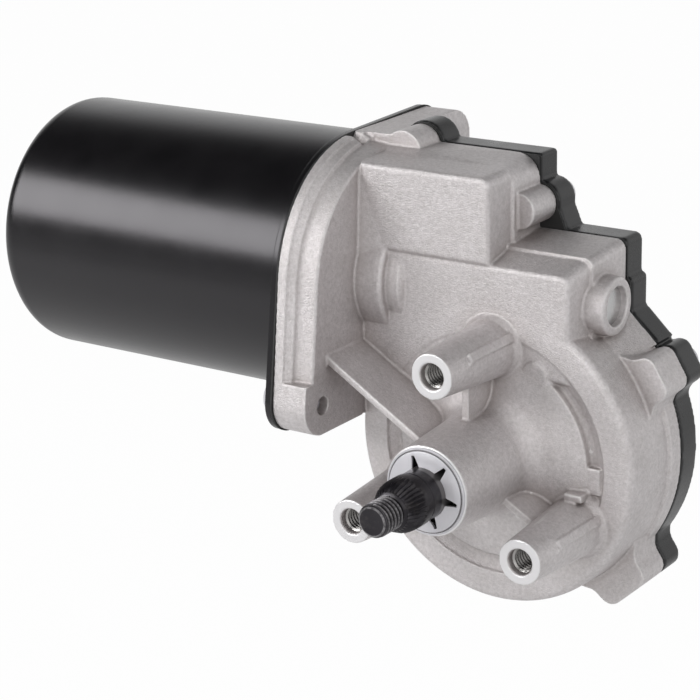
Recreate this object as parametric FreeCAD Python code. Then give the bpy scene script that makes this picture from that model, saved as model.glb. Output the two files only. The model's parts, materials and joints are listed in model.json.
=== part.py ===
import FreeCAD, Part
import os
from math import acos, atan2, cos, degrees, hypot, pi, radians, sin, tan

# A windscreen wiper motor: a two-pole permanent-magnet motor whose worm drives a worm
# wheel and the output shaft in a die-cast gear housing. Millimetres.
# +X runs along the motor shaft towards the worm, -Y is the way the output shaft points,
# +Z is up. The origin lies on the output shaft, in the plane of the mounting faces.

# Gear pair
MODULE = 1.25
WHEEL_TEETH = 52
WORM_PITCH_RADIUS = 4.5
PRESSURE_ANGLE = 20.0
TOOTH_PLAY = 0.20
ADDENDUM = 1.15
DEDENDUM = 1.45
WHEEL_WIDTH = 10.4
WORM_LENGTH = 27.0
MESH_DEPTH = 37.5
GEAR_ROOM = 1.35

# Fits
RUNNING_FIT = 0.03
SEAT_FIT = 0.02
SLIP_FIT = 0.10
AIR_GAP = 0.6

# Output shaft
SHAFT_RADIUS = 6.0
STUD_RADIUS = 4.0
STUD_LENGTH = 7.3
SERRATION_LENGTH = 9.0
SERRATION_RADIUS = 6.25
SERRATION_DEPTH = 0.35
SERRATION_COUNT = 36
SHAFT_REACH = 24.3
SHAFT_CHAMFER = 0.8
SHAFT_BUSH_WALL = 2.0
FRONT_BUSH_LENGTH = 12.0
REAR_BUSH_LENGTH = 9.0
SEAL_SECTION = 2.4
SEAL_SEAT_DEPTH = 2.6
STAR_WASHER_RADIUS = 8.9
STAR_WASHER_THICKNESS = 0.6
STAR_WASHER_DISH = 0.8
STAR_SLOTS = 6
STAR_SLOT_WIDTH = 1.3
STAR_RECESS_DEPTH = 2.0
THRUST_WASHER_THICKNESS = 0.5
HUB_RADIUS = 9.5
HUB_FLANGE_RADIUS = 15.5
HUB_FLANGE_THICKNESS = 2.5
HUB_TAIL = 1.8
WHEEL_RIM_THICKNESS = 5.0
WHEEL_WEB_THICKNESS = 5.5
WHEEL_RIB_COUNT = 8
WHEEL_RIB_THICKNESS = 1.8
CONTACT_DISC_THICKNESS = 0.8
CONTACT_DISC_OUTER = 24.0
CONTACT_DISC_INNER = 11.0

# Gear housing
MOUNT_CIRCLE_RADIUS = 26.3
MOUNT_COUNT = 3
MOUNT_FACE_RADIUS = 5.35
MOUNT_ROOT_RADIUS = 7.2
MOUNT_BORE_RADIUS = 2.5
MOUNT_BORE_DEPTH = 17.0
MOUNT_MOUTH_RADIUS = 2.9
STRIP_WIDTH = 2.2
STRIP_RISE = 0.35
STRIP_START = 8.0
STRIP_HEADINGS = {0: 31.0, 2: 26.0}
SHAFT_BOSS_RADIUS = 10.75
SHAFT_BOSS_PROUD = 2.6
WHEEL_FRONT_ROOM = 3.1
WHEEL_BACK_ROOM = 4.2
BOWL_FLOOR = 3.6
BOWL_WALL = 3.4
BOWL_DRAFT = 1.4
RIM_LIP = 5.0
GROOVE_INNER_RADIUS = 25.3
GROOVE_OUTER_RADIUS = 29.8
GROOVE_DEPTH = 1.8
GROOVE_STEP = 0.7
CASTING_WALL = 3.0
BLOCK_REACH = 20.0
BLOCK_RISE = 8.5
BLOCK_SHOULDER = 7.4
BLOCK_SHOULDER_RISE = 2.5
BLOCK_BACK_RISE = 13.2
BOX_BELOW_FLANGE = 4.2
BOX_RIGHT = -0.5
BOX_STEP = 0.5
BOX_SIDE_STEP = 0.9
BLOCK_STEP = 0.7
CORNER_WEB_WIDTH = 7.2
CORNER_WEB_DEPTH = 1.4
BOX_CORNER = 2.4
BOX_BACK_CORNER = 6.0
DRAFT_GROWTH = 1.6
EDGE_ROUND = 1.2
WORM_BOSS_RADIUS = 6.85
RIB_THICKNESS = 1.8
GUSSET_FRONT = 10.0
BOSS_RIB_FRONT = 14.0
COLUMN_RADIUS = 4.4
COLUMN_HEIGHT = 10.4
FLANGE_COLUMN_RADIUS = 5.2
FLANGE_COLUMN_HEIGHT = 8.9
COLUMN_SETBACK = 0.8
RIM_COLUMN_ANGLES = (30.9, -47.0, -134.0)
LOBE_REACH = 5.6
LOBE_HALF_WIDTH = 5.0
WIDE_LOBE_REACH = 6.7
WIDE_LOBE_HALF_WIDTH = 6.6
LOBE_FLARE = 4.0
BRIDGE_REACH = 2.9
BRIDGE_DRAFT = 3.4
PAD_RADIUS = 3.1
PAD_CIRCLE_RADIUS = 24.4
PAD_ANGLE = 61.5
TAPPED_RADIUS = 2.0
TAPPED_DEPTH = 8.5

# Motor frame
FLANGE_X = -36.0
FLANGE_THICKNESS = 9.4
FLANGE_LIP = 0.7
JOINT_ABOVE_FLANGE = 3.2
FLANGE_RIM_WIDTH = 2.5
FLANGE_SLOPE_WIDTH = 2.0
FLANGE_BAND_INSET = 2.7
EAR_REACH = 6.94
EAR_ANGLE = 42.0
EAR_RADIUS = 7.25
EAR_MARGIN = 0.6
EAR_BLOCK_RISE = 6.2
EAR_PLATE_MARGIN = 0.5
EAR_SCREW_RADIUS = 2.1
EAR_SCREW_LENGTH = 10.4
EAR_SCREW_HEAD_RADIUS = 4.4
EAR_SCREW_HEAD_HEIGHT = 3.6
EAR_SCREW_KEY_RADIUS = 2.3
EAR_SCREW_KEY_DEPTH = 2.0
NECK_RADIUS = 15.5
NECK_LENGTH = 7.5
NECK_STEP_RADIUS = 13.5
NECK_STEP_LENGTH = 4.5
FLANGE_RECESS_DEPTH = 7.0
FLANGE_RECESS_WALL = 4.0
CAN_RADIUS = 32.5
CAN_WALL = 1.5
CAN_LENGTH = 89.1
CAN_ROUND = 5.0
CAN_DOME_DEPTH = 7.0
CAN_PLATE_THICKNESS = 1.5
CAN_GASKET_THICKNESS = 0.5
MAGNET_THICKNESS = 6.4
MAGNET_LENGTH = 55.0
MAGNET_SPAN = 138.0
MAGNET_SETBACK = 18.0
CLIP_THICKNESS = 0.6

# Armature
ARMATURE_SHAFT_RADIUS = 4.0
CORE_LENGTH = 45.0
CORE_SETBACK = 19.1
CORE_SLOTS = 12
CORE_HUB_RADIUS = 10.5
SLOT_MOUTH = 2.2
TOOTH_WIDTH = 4.0
POLE_TIP_THICKNESS = 1.8
END_TURN_LENGTH = 7.5
COMMUTATOR_RADIUS = 10.5
COMMUTATOR_BAR_THICKNESS = 2.6
COMMUTATOR_LENGTH = 12.0
COMMUTATOR_START = 43.0
COMMUTATOR_GAP = 0.6
RISER_LENGTH = 1.8
RISER_HEIGHT = 1.4
WORM_RUN_OUT = 1.6
THRUST_BALL_RADIUS = 1.5

# Armature bearings
BEARING_OUTER_RADIUS = 11.0
BEARING_WIDTH = 7.0
RACE_THICKNESS = 2.2
BEARING_BALLS = 8
BEARING_BALL_RADIUS = 1.95
REAR_BUSH_OUTER_RADIUS = 7.0
REAR_BUSH_SEAT_LENGTH = 8.0
TIP_BUSH_OUTER_RADIUS = 4.7
TIP_BUSH_SEAT_LENGTH = 4.5
TIP_BUSH_ROOM = 0.4
TIP_PLUG_DEPTH = 6.3
THRUST_PLUG_THICKNESS = 1.5
REAR_END_PLAY = 0.5
RETAINER_THICKNESS = 1.0

# Brush gear
CARD_THICKNESS = 2.5
CARD_EDGE_ROOM = 0.3
BRUSH_WIDTH = 4.6
BRUSH_AXIAL = 7.6
BRUSH_LENGTH = 11.0
HOLDER_WALL = 0.8
BRUSH_ANGLES = (0.0, 180.0, 235.0)
LEAD_COUNT = 3
LEAD_WIDTH = 2.4
LEAD_THICKNESS = 0.6
LEAD_STUB = 1.0
LEAD_WINDOW_WIDTH = 14.0
LEAD_WINDOW_HEIGHT = 6.0
CHOKE_RADIUS = 3.4
CHOKE_CORE_RADIUS = 2.0
CHOKE_LENGTH = 11.0

# Gear cover
COVER_DEPTH = 7.4
COVER_WALL = 2.2
COVER_GASKET_THICKNESS = 0.6
COVER_SCREW_RADIUS = 1.9
COVER_SCREW_HEAD_RADIUS = 3.4
COVER_SCREW_HEAD_HEIGHT = 2.6
SHROUD_WIDTH = 26.0
SHROUD_HEIGHT = 13.0
SHROUD_DEPTH = 17.0
SHROUD_WALL = 1.6
TERMINAL_COUNT = 5
TERMINAL_WIDTH = 2.8
TERMINAL_THICKNESS = 0.8
TERMINAL_SETBACK = 8.0
FINGER_WIDTH = 2.6
FINGER_THICKNESS = 0.5
FINGER_COUNT = 3
FINGER_STAGGER = 3.2
FINGER_TRACK_MARGIN = 3.0
FINGER_POST_MARGIN = 4.0
FINGER_POST_RADIUS = 2.2
FINGER_LIFT = 1.6

# Values worked out from the sizes above
wheel_pitch_radius = MODULE * WHEEL_TEETH / 2
wheel_tip_radius = wheel_pitch_radius + ADDENDUM
wheel_root_radius = wheel_pitch_radius - DEDENDUM
worm_tip_radius = WORM_PITCH_RADIUS + ADDENDUM
worm_root_radius = WORM_PITCH_RADIUS - DEDENDUM
worm_end_radius = worm_root_radius - 0.15
axial_pitch = pi * MODULE
lead_angle = degrees(atan2(MODULE, 2 * WORM_PITCH_RADIUS))
motor_z = wheel_pitch_radius + WORM_PITCH_RADIUS
cavity_radius = wheel_tip_radius + GEAR_ROOM
rim_radius = cavity_radius + BOWL_WALL
wheel_front = MESH_DEPTH - WHEEL_WIDTH / 2
wheel_back = MESH_DEPTH + WHEEL_WIDTH / 2
cavity_front = wheel_front - WHEEL_FRONT_ROOM
front_plane = cavity_front - BOWL_FLOOR
joint_plane = wheel_back + WHEEL_BACK_ROOM
hub_front = cavity_front + THRUST_WASHER_THICKNESS
hub_back = wheel_back + HUB_TAIL
bush_bore = SHAFT_RADIUS + SHAFT_BUSH_WALL
block_top = motor_z + BLOCK_RISE
block_back_top = motor_z + BLOCK_BACK_RISE
cover_front = joint_plane + COVER_GASKET_THICKNESS
column_front = joint_plane - COLUMN_HEIGHT
flange_column_front = joint_plane - FLANGE_COLUMN_HEIGHT
cover_back = cover_front + COVER_DEPTH
can_joint = FLANGE_X - FLANGE_THICKNESS
can_mouth = can_joint - CAN_GASKET_THICKNESS
can_end = can_mouth - CAN_LENGTH
can_inner = CAN_RADIUS - CAN_WALL
flange_radius = CAN_RADIUS + FLANGE_LIP
box_top = motor_z + flange_radius - BOX_BELOW_FLANGE
box_back_top = box_top + DRAFT_GROWTH
band_radius = flange_radius - FLANGE_BAND_INSET
ear_distance = CAN_RADIUS + EAR_REACH
recess_floor = can_joint + FLANGE_RECESS_DEPTH
recess_radius = can_inner - FLANGE_RECESS_WALL + CAN_WALL
bearing_shoulder = recess_floor + BEARING_WIDTH
neck_end = FLANGE_X + NECK_LENGTH + NECK_STEP_LENGTH
tunnel_radius = worm_tip_radius + GEAR_ROOM
worm_half = WORM_LENGTH / 2
worm_end = worm_half + WORM_RUN_OUT
tip_seat = worm_end + TIP_BUSH_ROOM
tip_end = tip_seat + TIP_BUSH_SEAT_LENGTH
boss_reach = tip_end + TIP_PLUG_DEPTH
magnet_inner = can_inner - SEAT_FIT - MAGNET_THICKNESS
core_radius = magnet_inner - AIR_GAP
core_end = can_joint - CORE_SETBACK
core_start = core_end - CORE_LENGTH
commutator_end = -COMMUTATOR_START
commutator_start = commutator_end - COMMUTATOR_LENGTH
card_back = recess_floor - RETAINER_THICKNESS
card_front = card_back - CARD_THICKNESS
mount_angles = [90 + 360 * i / MOUNT_COUNT for i in range(MOUNT_COUNT)]

X_DIR = FreeCAD.Vector(1, 0, 0)
Y_DIR = FreeCAD.Vector(0, 1, 0)
MOTOR_AXIS = FreeCAD.Vector(0, MESH_DEPTH, motor_z)


def point(x, y, z=0.0):
    return FreeCAD.Vector(x, y, z)


def on_circle(radius, angle, centre=(0.0, 0.0)):
    return (centre[0] + radius * cos(radians(angle)), centre[1] + radius * sin(radians(angle)))


def rounded_wire(corners):
    """Closed wire through (x, y) corners; a third value rounds its corner."""
    count = len(corners)
    spots = [point(c[0], c[1]) for c in corners]
    rounds = []
    for i, spot in enumerate(spots):
        back = spots[i - 1] - spot
        ahead = spots[(i + 1) % count] - spot
        radius = corners[i][2] if len(corners[i]) > 2 else 0
        if radius == 0:
            rounds.append((spot, None, spot))
            continue
        half = back.getAngle(ahead) / 2
        reach = min(radius / tan(half), 0.48 * back.Length, 0.48 * ahead.Length)
        bisector = (back.normalize() + ahead.normalize()).normalize()
        nearest = reach / cos(half) - reach * tan(half)
        rounds.append((spot + back * reach, spot + bisector * nearest, spot + ahead * reach))
    edges = []
    for i, (enter, middle, leave) in enumerate(rounds):
        if middle is not None:
            edges.append(Part.Arc(enter, middle, leave).toShape())
        following = rounds[(i + 1) % count][0]
        if leave.distanceToPoint(following) > 1e-6:
            edges.append(Part.LineSegment(leave, following).toShape())
    return Part.Wire(edges)


def belt_wire(centre_a, radius_a, centre_b, radius_b):
    """Closed wire round two circles and their outer tangents."""
    span = (centre_b[0] - centre_a[0], centre_b[1] - centre_a[1])
    heading = degrees(atan2(span[1], span[0]))
    spread = degrees(acos((radius_a - radius_b) / hypot(span[0], span[1])))
    a_left = point(*on_circle(radius_a, heading + spread, centre_a))
    a_far = point(*on_circle(radius_a, heading + 180, centre_a))
    a_right = point(*on_circle(radius_a, heading - spread, centre_a))
    b_left = point(*on_circle(radius_b, heading + spread, centre_b))
    b_tip = point(*on_circle(radius_b, heading, centre_b))
    b_right = point(*on_circle(radius_b, heading - spread, centre_b))
    return Part.Wire([
        Part.Arc(a_left, a_far, a_right).toShape(),
        Part.LineSegment(a_right, b_right).toShape(),
        Part.Arc(b_right, b_tip, b_left).toShape(),
        Part.LineSegment(b_left, a_left).toShape(),
    ])


def facing_y(shape, y):
    """Stand a drawing up: its x stays X, its y becomes Z and its z becomes -Y from y."""
    shape.Placement = FreeCAD.Placement(point(0, y, 0), FreeCAD.Rotation(X_DIR, 90))
    return shape


def facing_x(shape, x):
    """Turn a drawing across the motor: its x becomes Y, its y Z and its z X from x."""
    turn = FreeCAD.Rotation(point(1, 1, 1), 120)
    shape.Placement = FreeCAD.Placement(point(x, 0, 0), turn)
    return shape


def wire_prism_y(wire, y_front, y_back):
    return facing_y(Part.Face(wire).extrude(point(0, 0, y_back - y_front)), y_back)


def wire_prism_x(wire, x_start, x_end):
    return facing_x(Part.Face(wire).extrude(point(0, 0, x_end - x_start)), x_start)


def prism_y(corners, y_front, y_back):
    return wire_prism_y(rounded_wire(corners), y_front, y_back)


def prism_x(corners, x_start, x_end):
    return wire_prism_x(rounded_wire(corners), x_start, x_end)


def rod_y(x, z, radius, y_front, y_back):
    return Part.makeCylinder(radius, y_back - y_front, point(x, y_front, z), Y_DIR)


def cone_y(x, z, front_radius, back_radius, y_front, y_back):
    return Part.makeCone(front_radius, back_radius, y_back - y_front, point(x, y_front, z), Y_DIR)


def rod_x(y, z, radius, x_start, x_end):
    return Part.makeCylinder(radius, x_end - x_start, point(x_start, y, z), X_DIR)


def box(x_span, y_span, z_span):
    size = [span[1] - span[0] for span in (x_span, y_span, z_span)]
    return Part.makeBox(size[0], size[1], size[2], point(x_span[0], y_span[0], z_span[0]))


def turned_y(corners):
    """Solid turned about the output shaft from (radius, y) corners."""
    return Part.Face(rounded_wire(corners)).revolve(point(0, 0), Y_DIR, 360)


def turned_x(corners):
    """Solid turned about the motor shaft from (x, radius) corners."""
    solid = Part.Face(rounded_wire(corners)).revolve(point(0, 0), X_DIR, 360)
    solid.translate(MOTOR_AXIS)
    return solid


def ring_y(inner, outer, y_front, y_back):
    return turned_y([(inner, y_front), (outer, y_front), (outer, y_back), (inner, y_back)])


def ring_x(inner, outer, x_start, x_end):
    return turned_x([(x_start, inner), (x_end, inner), (x_end, outer), (x_start, outer)])


def about_motor(shape, angle):
    """Copy of a shape turned about the motor shaft."""
    copy = shape.copy()
    copy.rotate(MOTOR_AXIS, X_DIR, angle)
    return copy


def about_output(shape, angle):
    """Copy of a shape turned about the output shaft; 90 degrees carries +X to +Z."""
    copy = shape.copy()
    copy.rotate(point(0, 0), Y_DIR, -angle)
    return copy


def fused(shapes):
    return shapes[0].multiFuse(shapes[1:]).removeSplitter()


def sector_x(inner, outer, start, end, x_start, x_end):
    """Part of a ring about the motor shaft, drawn at the axis and then moved to it."""
    middle = (start + end) / 2
    wire = Part.Wire([
        Part.Arc(*[point(*on_circle(outer, a)) for a in (start, middle, end)]).toShape(),
        Part.LineSegment(point(*on_circle(outer, end)), point(*on_circle(inner, end))).toShape(),
        Part.Arc(*[point(*on_circle(inner, a)) for a in (end, middle, start)]).toShape(),
        Part.LineSegment(point(*on_circle(inner, start)), point(*on_circle(outer, start))).toShape(),
    ])
    solid = wire_prism_x(wire, x_start, x_end)
    solid.translate(MOTOR_AXIS)
    return solid


def drafted_block(front, back, y_front, y_back, edge_round):
    """Cast block that grows from its front outline to its back one, front edges rounded."""
    front_wire = facing_y(rounded_wire(front), y_front)
    back_wire = facing_y(rounded_wire(back), y_back)
    solid = Part.makeLoft([front_wire, back_wire], True, True)
    if edge_round == 0:
        return solid
    edges = [e for e in solid.Edges if all(abs(v.Y - y_front) < 1e-4 for v in e.Vertexes)]
    return solid.makeFillet(edge_round, edges)


def motor_centre():
    return (MESH_DEPTH, motor_z)


def ear_centres():
    """Centres of the two motor screw ears as (y, z)."""
    return [on_circle(ear_distance, 180 + EAR_ANGLE, motor_centre()),
            on_circle(ear_distance, EAR_ANGLE, motor_centre())]


def column_centres():
    """Centres of the five cover screws as (x, z)."""
    beside_flange = (FLANGE_X + COVER_SCREW_HEAD_RADIUS + 0.4, box_top + 0.3)
    beside_box = (BOX_RIGHT + 0.9, block_top + 10.7)
    on_rim = [on_circle(rim_radius + COLUMN_SETBACK, angle) for angle in RIM_COLUMN_ANGLES]
    return [beside_flange, beside_box] + on_rim


def rim_lobe(angle, reach, half_width, grow):
    """Outline of one screw lobe, which flares into the bowl's rim."""
    outer = rim_radius + reach + grow
    side = half_width + grow
    waist = rim_radius + COLUMN_SETBACK
    foot = cavity_radius - 0.6
    half = [(foot, side + LOBE_FLARE + 1.5, 0), (waist, side + 0.8, LOBE_FLARE), (outer, side, 0.8 * LOBE_HALF_WIDTH)]
    path = [(r, -t, c) for r, t, c in half] + half[::-1]
    corners = []
    for radial, across, corner in path:
        foot_x, foot_z = on_circle(radial, angle)
        corners.append(on_circle(across, angle + 90, (foot_x, foot_z)) + (corner,))
    return rounded_wire(corners)


def rim_lobes(grow):
    lobes = []
    for i, angle in enumerate(RIM_COLUMN_ANGLES):
        wide = i == 1
        lobes.append(rim_lobe(angle, WIDE_LOBE_REACH if wide else LOBE_REACH,
                              WIDE_LOBE_HALF_WIDTH if wide else LOBE_HALF_WIDTH, grow))
    return lobes


def bridge_outline(reach):
    """Corners of the wall between the worm boss and the first rim lobe."""
    near = RIM_COLUMN_ANGLES[0] + 9
    far = near + 14
    return [on_circle(cavity_radius - 5, near - 4), on_circle(rim_radius + reach, near),
            on_circle(rim_radius + reach, far), on_circle(cavity_radius - 5, far + 4)]


# Gear housing

def bowl_outside():
    edge = rim_radius - BOWL_DRAFT
    shelf = front_plane - 0.3
    valley = shelf + GROOVE_DEPTH
    return turned_y([
        (0, -SHAFT_BOSS_PROUD),
        (SHAFT_BOSS_RADIUS, -SHAFT_BOSS_PROUD),
        (SHAFT_BOSS_RADIUS + 1.7, shelf - 2.2, 5.5),
        (GROOVE_INNER_RADIUS, shelf + 0.2),
        (GROOVE_INNER_RADIUS + 0.5, valley),
        (GROOVE_INNER_RADIUS + 1.9, valley),
        (GROOVE_OUTER_RADIUS - 0.3, shelf + GROOVE_STEP),
        (GROOVE_OUTER_RADIUS, shelf + 0.1),
        (edge, front_plane, 1.9),
        (edge + 0.6, joint_plane - RIM_LIP),
        (rim_radius, joint_plane - RIM_LIP + 0.5),
        (rim_radius, joint_plane),
        (0, joint_plane),
    ])


def worm_block():
    low = motor_z - 17
    left = FLANGE_X
    shoulder_y = front_plane + BLOCK_SHOULDER
    shoulder_top = block_top + BLOCK_SHOULDER_RISE
    lean = 3.2
    front = [(left, low), (BLOCK_REACH, low), (BLOCK_REACH, block_top, BOX_CORNER), (left, block_top)]
    middle_right = BLOCK_REACH + lean / 2
    middle = [(left, low), (middle_right, low), (middle_right, shoulder_top, BOX_CORNER),
              (left, shoulder_top)]
    right = BLOCK_REACH + lean
    step_right = middle_right + BLOCK_STEP
    step_top = shoulder_top + BLOCK_STEP
    step = [(left, low), (step_right, low), (step_right, step_top, BOX_CORNER), (left, step_top)]
    back = [(left, low), (right, low), (right, block_back_top, BOX_CORNER), (left, block_back_top)]
    return [drafted_block(front, middle, front_plane, shoulder_y, EDGE_ROUND),
            drafted_block(step, back, shoulder_y, joint_plane, 0)]


def upper_box():
    front_y = front_plane - BOX_STEP
    low = block_top - 1.0
    right = BOX_RIGHT
    front = [(FLANGE_X, block_top), (right, block_top), (right, box_top, BOX_CORNER),
             (FLANGE_X, box_top)]
    middle = [(FLANGE_X, low), (right + 0.3, low), (right + 0.3, box_top + 0.6, BOX_CORNER),
              (FLANGE_X, box_top + 0.6)]
    side = right + BOX_SIDE_STEP
    shell = [(FLANGE_X, low), (side, low), (side, box_back_top, BOX_BACK_CORNER),
             (FLANGE_X, box_back_top)]
    step_y = front_plane + BLOCK_SHOULDER + 2.0
    return [drafted_block(front, middle, front_y, step_y, EDGE_ROUND),
            prism_y(shell, step_y, joint_plane)]


def corner_web():
    """Slanting fillet between the motor flange and the box front, widest at its foot."""
    near = front_plane - BOX_STEP
    behind = near + BOX_STEP
    left = FLANGE_X - 0.3
    sections = []
    for z, share in ((block_top - 1, 1.0), (box_top - BOX_CORNER, 0.04)):
        edge = FLANGE_X + CORNER_WEB_WIDTH * share
        proud = near - CORNER_WEB_DEPTH * share
        sections.append(Part.makePolygon([point(left, behind, z), point(edge, behind, z), point(edge, near, z),
                                          point(FLANGE_X, proud, z), point(left, proud, z),
                                          point(left, behind, z)]))
    return Part.makeLoft(sections, True, True)


def left_web():
    """Wall between the motor flange and the bowl, below the bearing neck."""
    low = motor_z - flange_radius
    return prism_y([(FLANGE_X, motor_z), (FLANGE_X, low), (0, low), (0, motor_z)], front_plane, joint_plane)


def groove_pads():
    """Raised pad beside the top boss and the bridge across the groove beside the right one."""
    x, z = on_circle(PAD_CIRCLE_RADIUS, PAD_ANGLE)
    deep = front_plane + GROOVE_DEPTH + 0.5
    across = (GROOVE_INNER_RADIUS - 1.5, GROOVE_OUTER_RADIUS - 1.2)
    return [rod_y(x, z, PAD_RADIUS, front_plane - 0.5, deep),
            box(across, (front_plane, deep), (-PAD_RADIUS - 1.8, PAD_RADIUS - 1.6)),
            box((across[0] - 2.5, across[0] + 2), (front_plane - 3.6, deep), (-PAD_RADIUS - 2.9, -PAD_RADIUS - 1.2))]


def neck():
    end = FLANGE_X + NECK_LENGTH
    return turned_x([
        (FLANGE_X - 1, 0),
        (FLANGE_X - 1, NECK_RADIUS),
        (end, NECK_RADIUS, 3.0),
        (end, NECK_STEP_RADIUS),
        (end + NECK_STEP_LENGTH - 1, NECK_STEP_RADIUS),
        (end + NECK_STEP_LENGTH, NECK_STEP_RADIUS - 1),
        (end + NECK_STEP_LENGTH, 0),
    ])


def flange_belt(ear, inset):
    """Outline of the flange round one ear, drawn inwards by an inset."""
    return belt_wire(motor_centre(), flange_radius - inset, ear, EAR_RADIUS - inset)


def stepped_belt(ear):
    """Flange round one ear: the plain rim, the slope beside it and the lower band."""
    rim_end = can_joint + FLANGE_RIM_WIDTH
    slope_end = rim_end + FLANGE_SLOPE_WIDTH
    band = FLANGE_BAND_INSET
    chamfer = FLANGE_X - 0.4
    steps = [[(rim_end, 0.4), (slope_end, band - 1.3)],
             [(slope_end, band - 0.6), (chamfer, band)],
             [(chamfer, band), (FLANGE_X, band + 0.4)]]
    pieces = [wire_prism_x(flange_belt(ear, 0), can_joint, rim_end)]
    for step in steps:
        pieces.append(Part.makeLoft([facing_x(flange_belt(ear, inset), x) for x, inset in step], True, True))
    return pieces


def flange_outside():
    """Motor flange with its stepped rim, and the plain ends of its two screw ears."""
    lower, upper = ear_centres()
    far = MESH_DEPTH + motor_z + ear_distance + EAR_RADIUS
    below = box((can_joint, FLANGE_X), (-far, far), (-far, lower[1] + EAR_BLOCK_RISE))
    behind = box((can_joint, FLANGE_X), (flange_column_front, far), (motor_z, far))
    ends = [wire_prism_x(flange_belt(lower, 0), can_joint, FLANGE_X).common(below),
            wire_prism_x(flange_belt(upper, 0), can_joint, FLANGE_X).common(behind)]
    return stepped_belt(lower) + stepped_belt(upper) + ends


def worm_boss():
    root = BLOCK_REACH - 2.0
    return turned_x([
        (root, 0),
        (root, WORM_BOSS_RADIUS + 1.5),
        (BLOCK_REACH + 1.5, WORM_BOSS_RADIUS + 0.2),
        (boss_reach - 0.4, WORM_BOSS_RADIUS),
        (boss_reach, WORM_BOSS_RADIUS - 0.4),
        (boss_reach, 0),
    ])


def boss_strip(angle, heading):
    """Raised strip along one mounting boss, with the round mark at its start."""
    flare = (MOUNT_ROOT_RADIUS - MOUNT_FACE_RADIUS) / front_plane
    start = MOUNT_FACE_RADIUS + flare * STRIP_START + STRIP_RISE
    end = MOUNT_ROOT_RADIUS + STRIP_RISE
    profile = [(start - 2, STRIP_START), (start, STRIP_START), (end, front_plane), (end - 2, front_plane)]
    strip = Part.Face(rounded_wire(profile)).extrude(point(0, 0, STRIP_WIDTH))
    strip.translate(point(0, 0, -STRIP_WIDTH / 2))
    mark = rod_y(start - 1.0, -STRIP_WIDTH / 2, 0.8, STRIP_START - 0.8, STRIP_START + 0.8)
    x, z = on_circle(MOUNT_CIRCLE_RADIUS, angle)
    pieces = [about_output(piece, heading) for piece in (strip, mark)]
    for piece in pieces:
        piece.translate(point(x, 0, z))
    return pieces


def mount_boss(angle):
    x, z = on_circle(MOUNT_CIRCLE_RADIUS, angle)
    boss = cone_y(x, z, MOUNT_FACE_RADIUS, MOUNT_ROOT_RADIUS, 0, front_plane + 1)
    skirt = cone_y(x, z, MOUNT_ROOT_RADIUS - 0.4, MOUNT_ROOT_RADIUS + 1.6, front_plane - 2, front_plane + 1)
    return [boss, skirt]


def radial_rib(angle):
    """Rib from the shaft boss to one mounting boss."""
    inner = on_circle(SHAFT_BOSS_RADIUS - 2, angle)
    outer = on_circle(MOUNT_CIRCLE_RADIUS - 3, angle)
    return rib(inner, outer, RIB_THICKNESS, BOSS_RIB_FRONT)


def rib(start, end, thickness, y_front):
    """Straight rib between two (x, z) points, standing from the front wall to y_front."""
    heading = degrees(atan2(end[1] - start[1], end[0] - start[0]))
    corners = [on_circle(thickness / 2, heading + 90, start), on_circle(thickness / 2, heading - 90, start),
               on_circle(thickness / 2, heading - 90, end), on_circle(thickness / 2, heading + 90, end)]
    return prism_y(corners, y_front, front_plane + 2)


def gusset():
    """Slanting rib that ties the motor flange to the shaft boss."""
    start = (FLANGE_X - 1, motor_z - 14.9)
    end = on_circle(SHAFT_BOSS_RADIUS, 150)
    return rib(start, end, RIB_THICKNESS, GUSSET_FRONT)


def screw_columns():
    """Two round columns, three lobes on the rim, and the wall between the worm boss and a lobe."""
    beside_flange, beside_box = column_centres()[:2]
    x, z = beside_flange
    columns = [
        rod_y(x, z, FLANGE_COLUMN_RADIUS, flange_column_front, joint_plane),
        box((FLANGE_X - 0.5, x), (flange_column_front, joint_plane), (z - 6, z + FLANGE_COLUMN_RADIUS - 1.2)),
        rod_y(beside_box[0], beside_box[1], COLUMN_RADIUS, column_front, joint_plane),
        drafted_block(bridge_outline(BRIDGE_REACH - BRIDGE_DRAFT), bridge_outline(BRIDGE_REACH),
                      column_front, joint_plane, 0),
    ]
    return columns + [wire_prism_y(lobe, column_front, joint_plane) for lobe in rim_lobes(0)]


def joint_outline(grow):
    """Outlines in (x, z) whose union is the joint face between housing and cover."""
    box_right = BOX_RIGHT + 0.9 + grow
    tip = BLOCK_REACH + 3.2 + grow
    left = FLANGE_X + 0.6
    outlines = [
        rounded_wire([(left, motor_z - 10), (tip, motor_z - 10), (tip, block_back_top + grow, 1.6),
                      (left, block_back_top + grow)]),
        rounded_wire([(left, motor_z), (box_right, motor_z), (box_right, box_back_top + grow, 0.8),
                      (left, box_back_top + grow)]),
        rounded_wire([(0, motor_z - 9), (tip + 1.4, motor_z - 9, 1.5), (tip + 1.4, motor_z + 4, 1.5),
                      (0, motor_z + 4)]),
        Part.Wire(Part.makeCircle(rim_radius + grow)),
        rounded_wire([(left, motor_z), (left, motor_z - flange_radius + JOINT_ABOVE_FLANGE), (0, 0),
                      (0, motor_z)]),
    ]
    beside_flange, beside_box = column_centres()[:2]
    outlines += [
        Part.Wire(Part.makeCircle(FLANGE_COLUMN_RADIUS + EAR_MARGIN + grow, point(*beside_flange))),
        Part.Wire(Part.makeCircle(COLUMN_RADIUS + EAR_MARGIN + grow, point(*beside_box))),
        rounded_wire(bridge_outline(BRIDGE_REACH + grow)),
        rounded_wire([(0, block_top), (box_right + 9, block_top), (box_right + 4.5, beside_box[1]),
                      (0, beside_box[1])]),
    ]
    return outlines + rim_lobes(grow)


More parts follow.
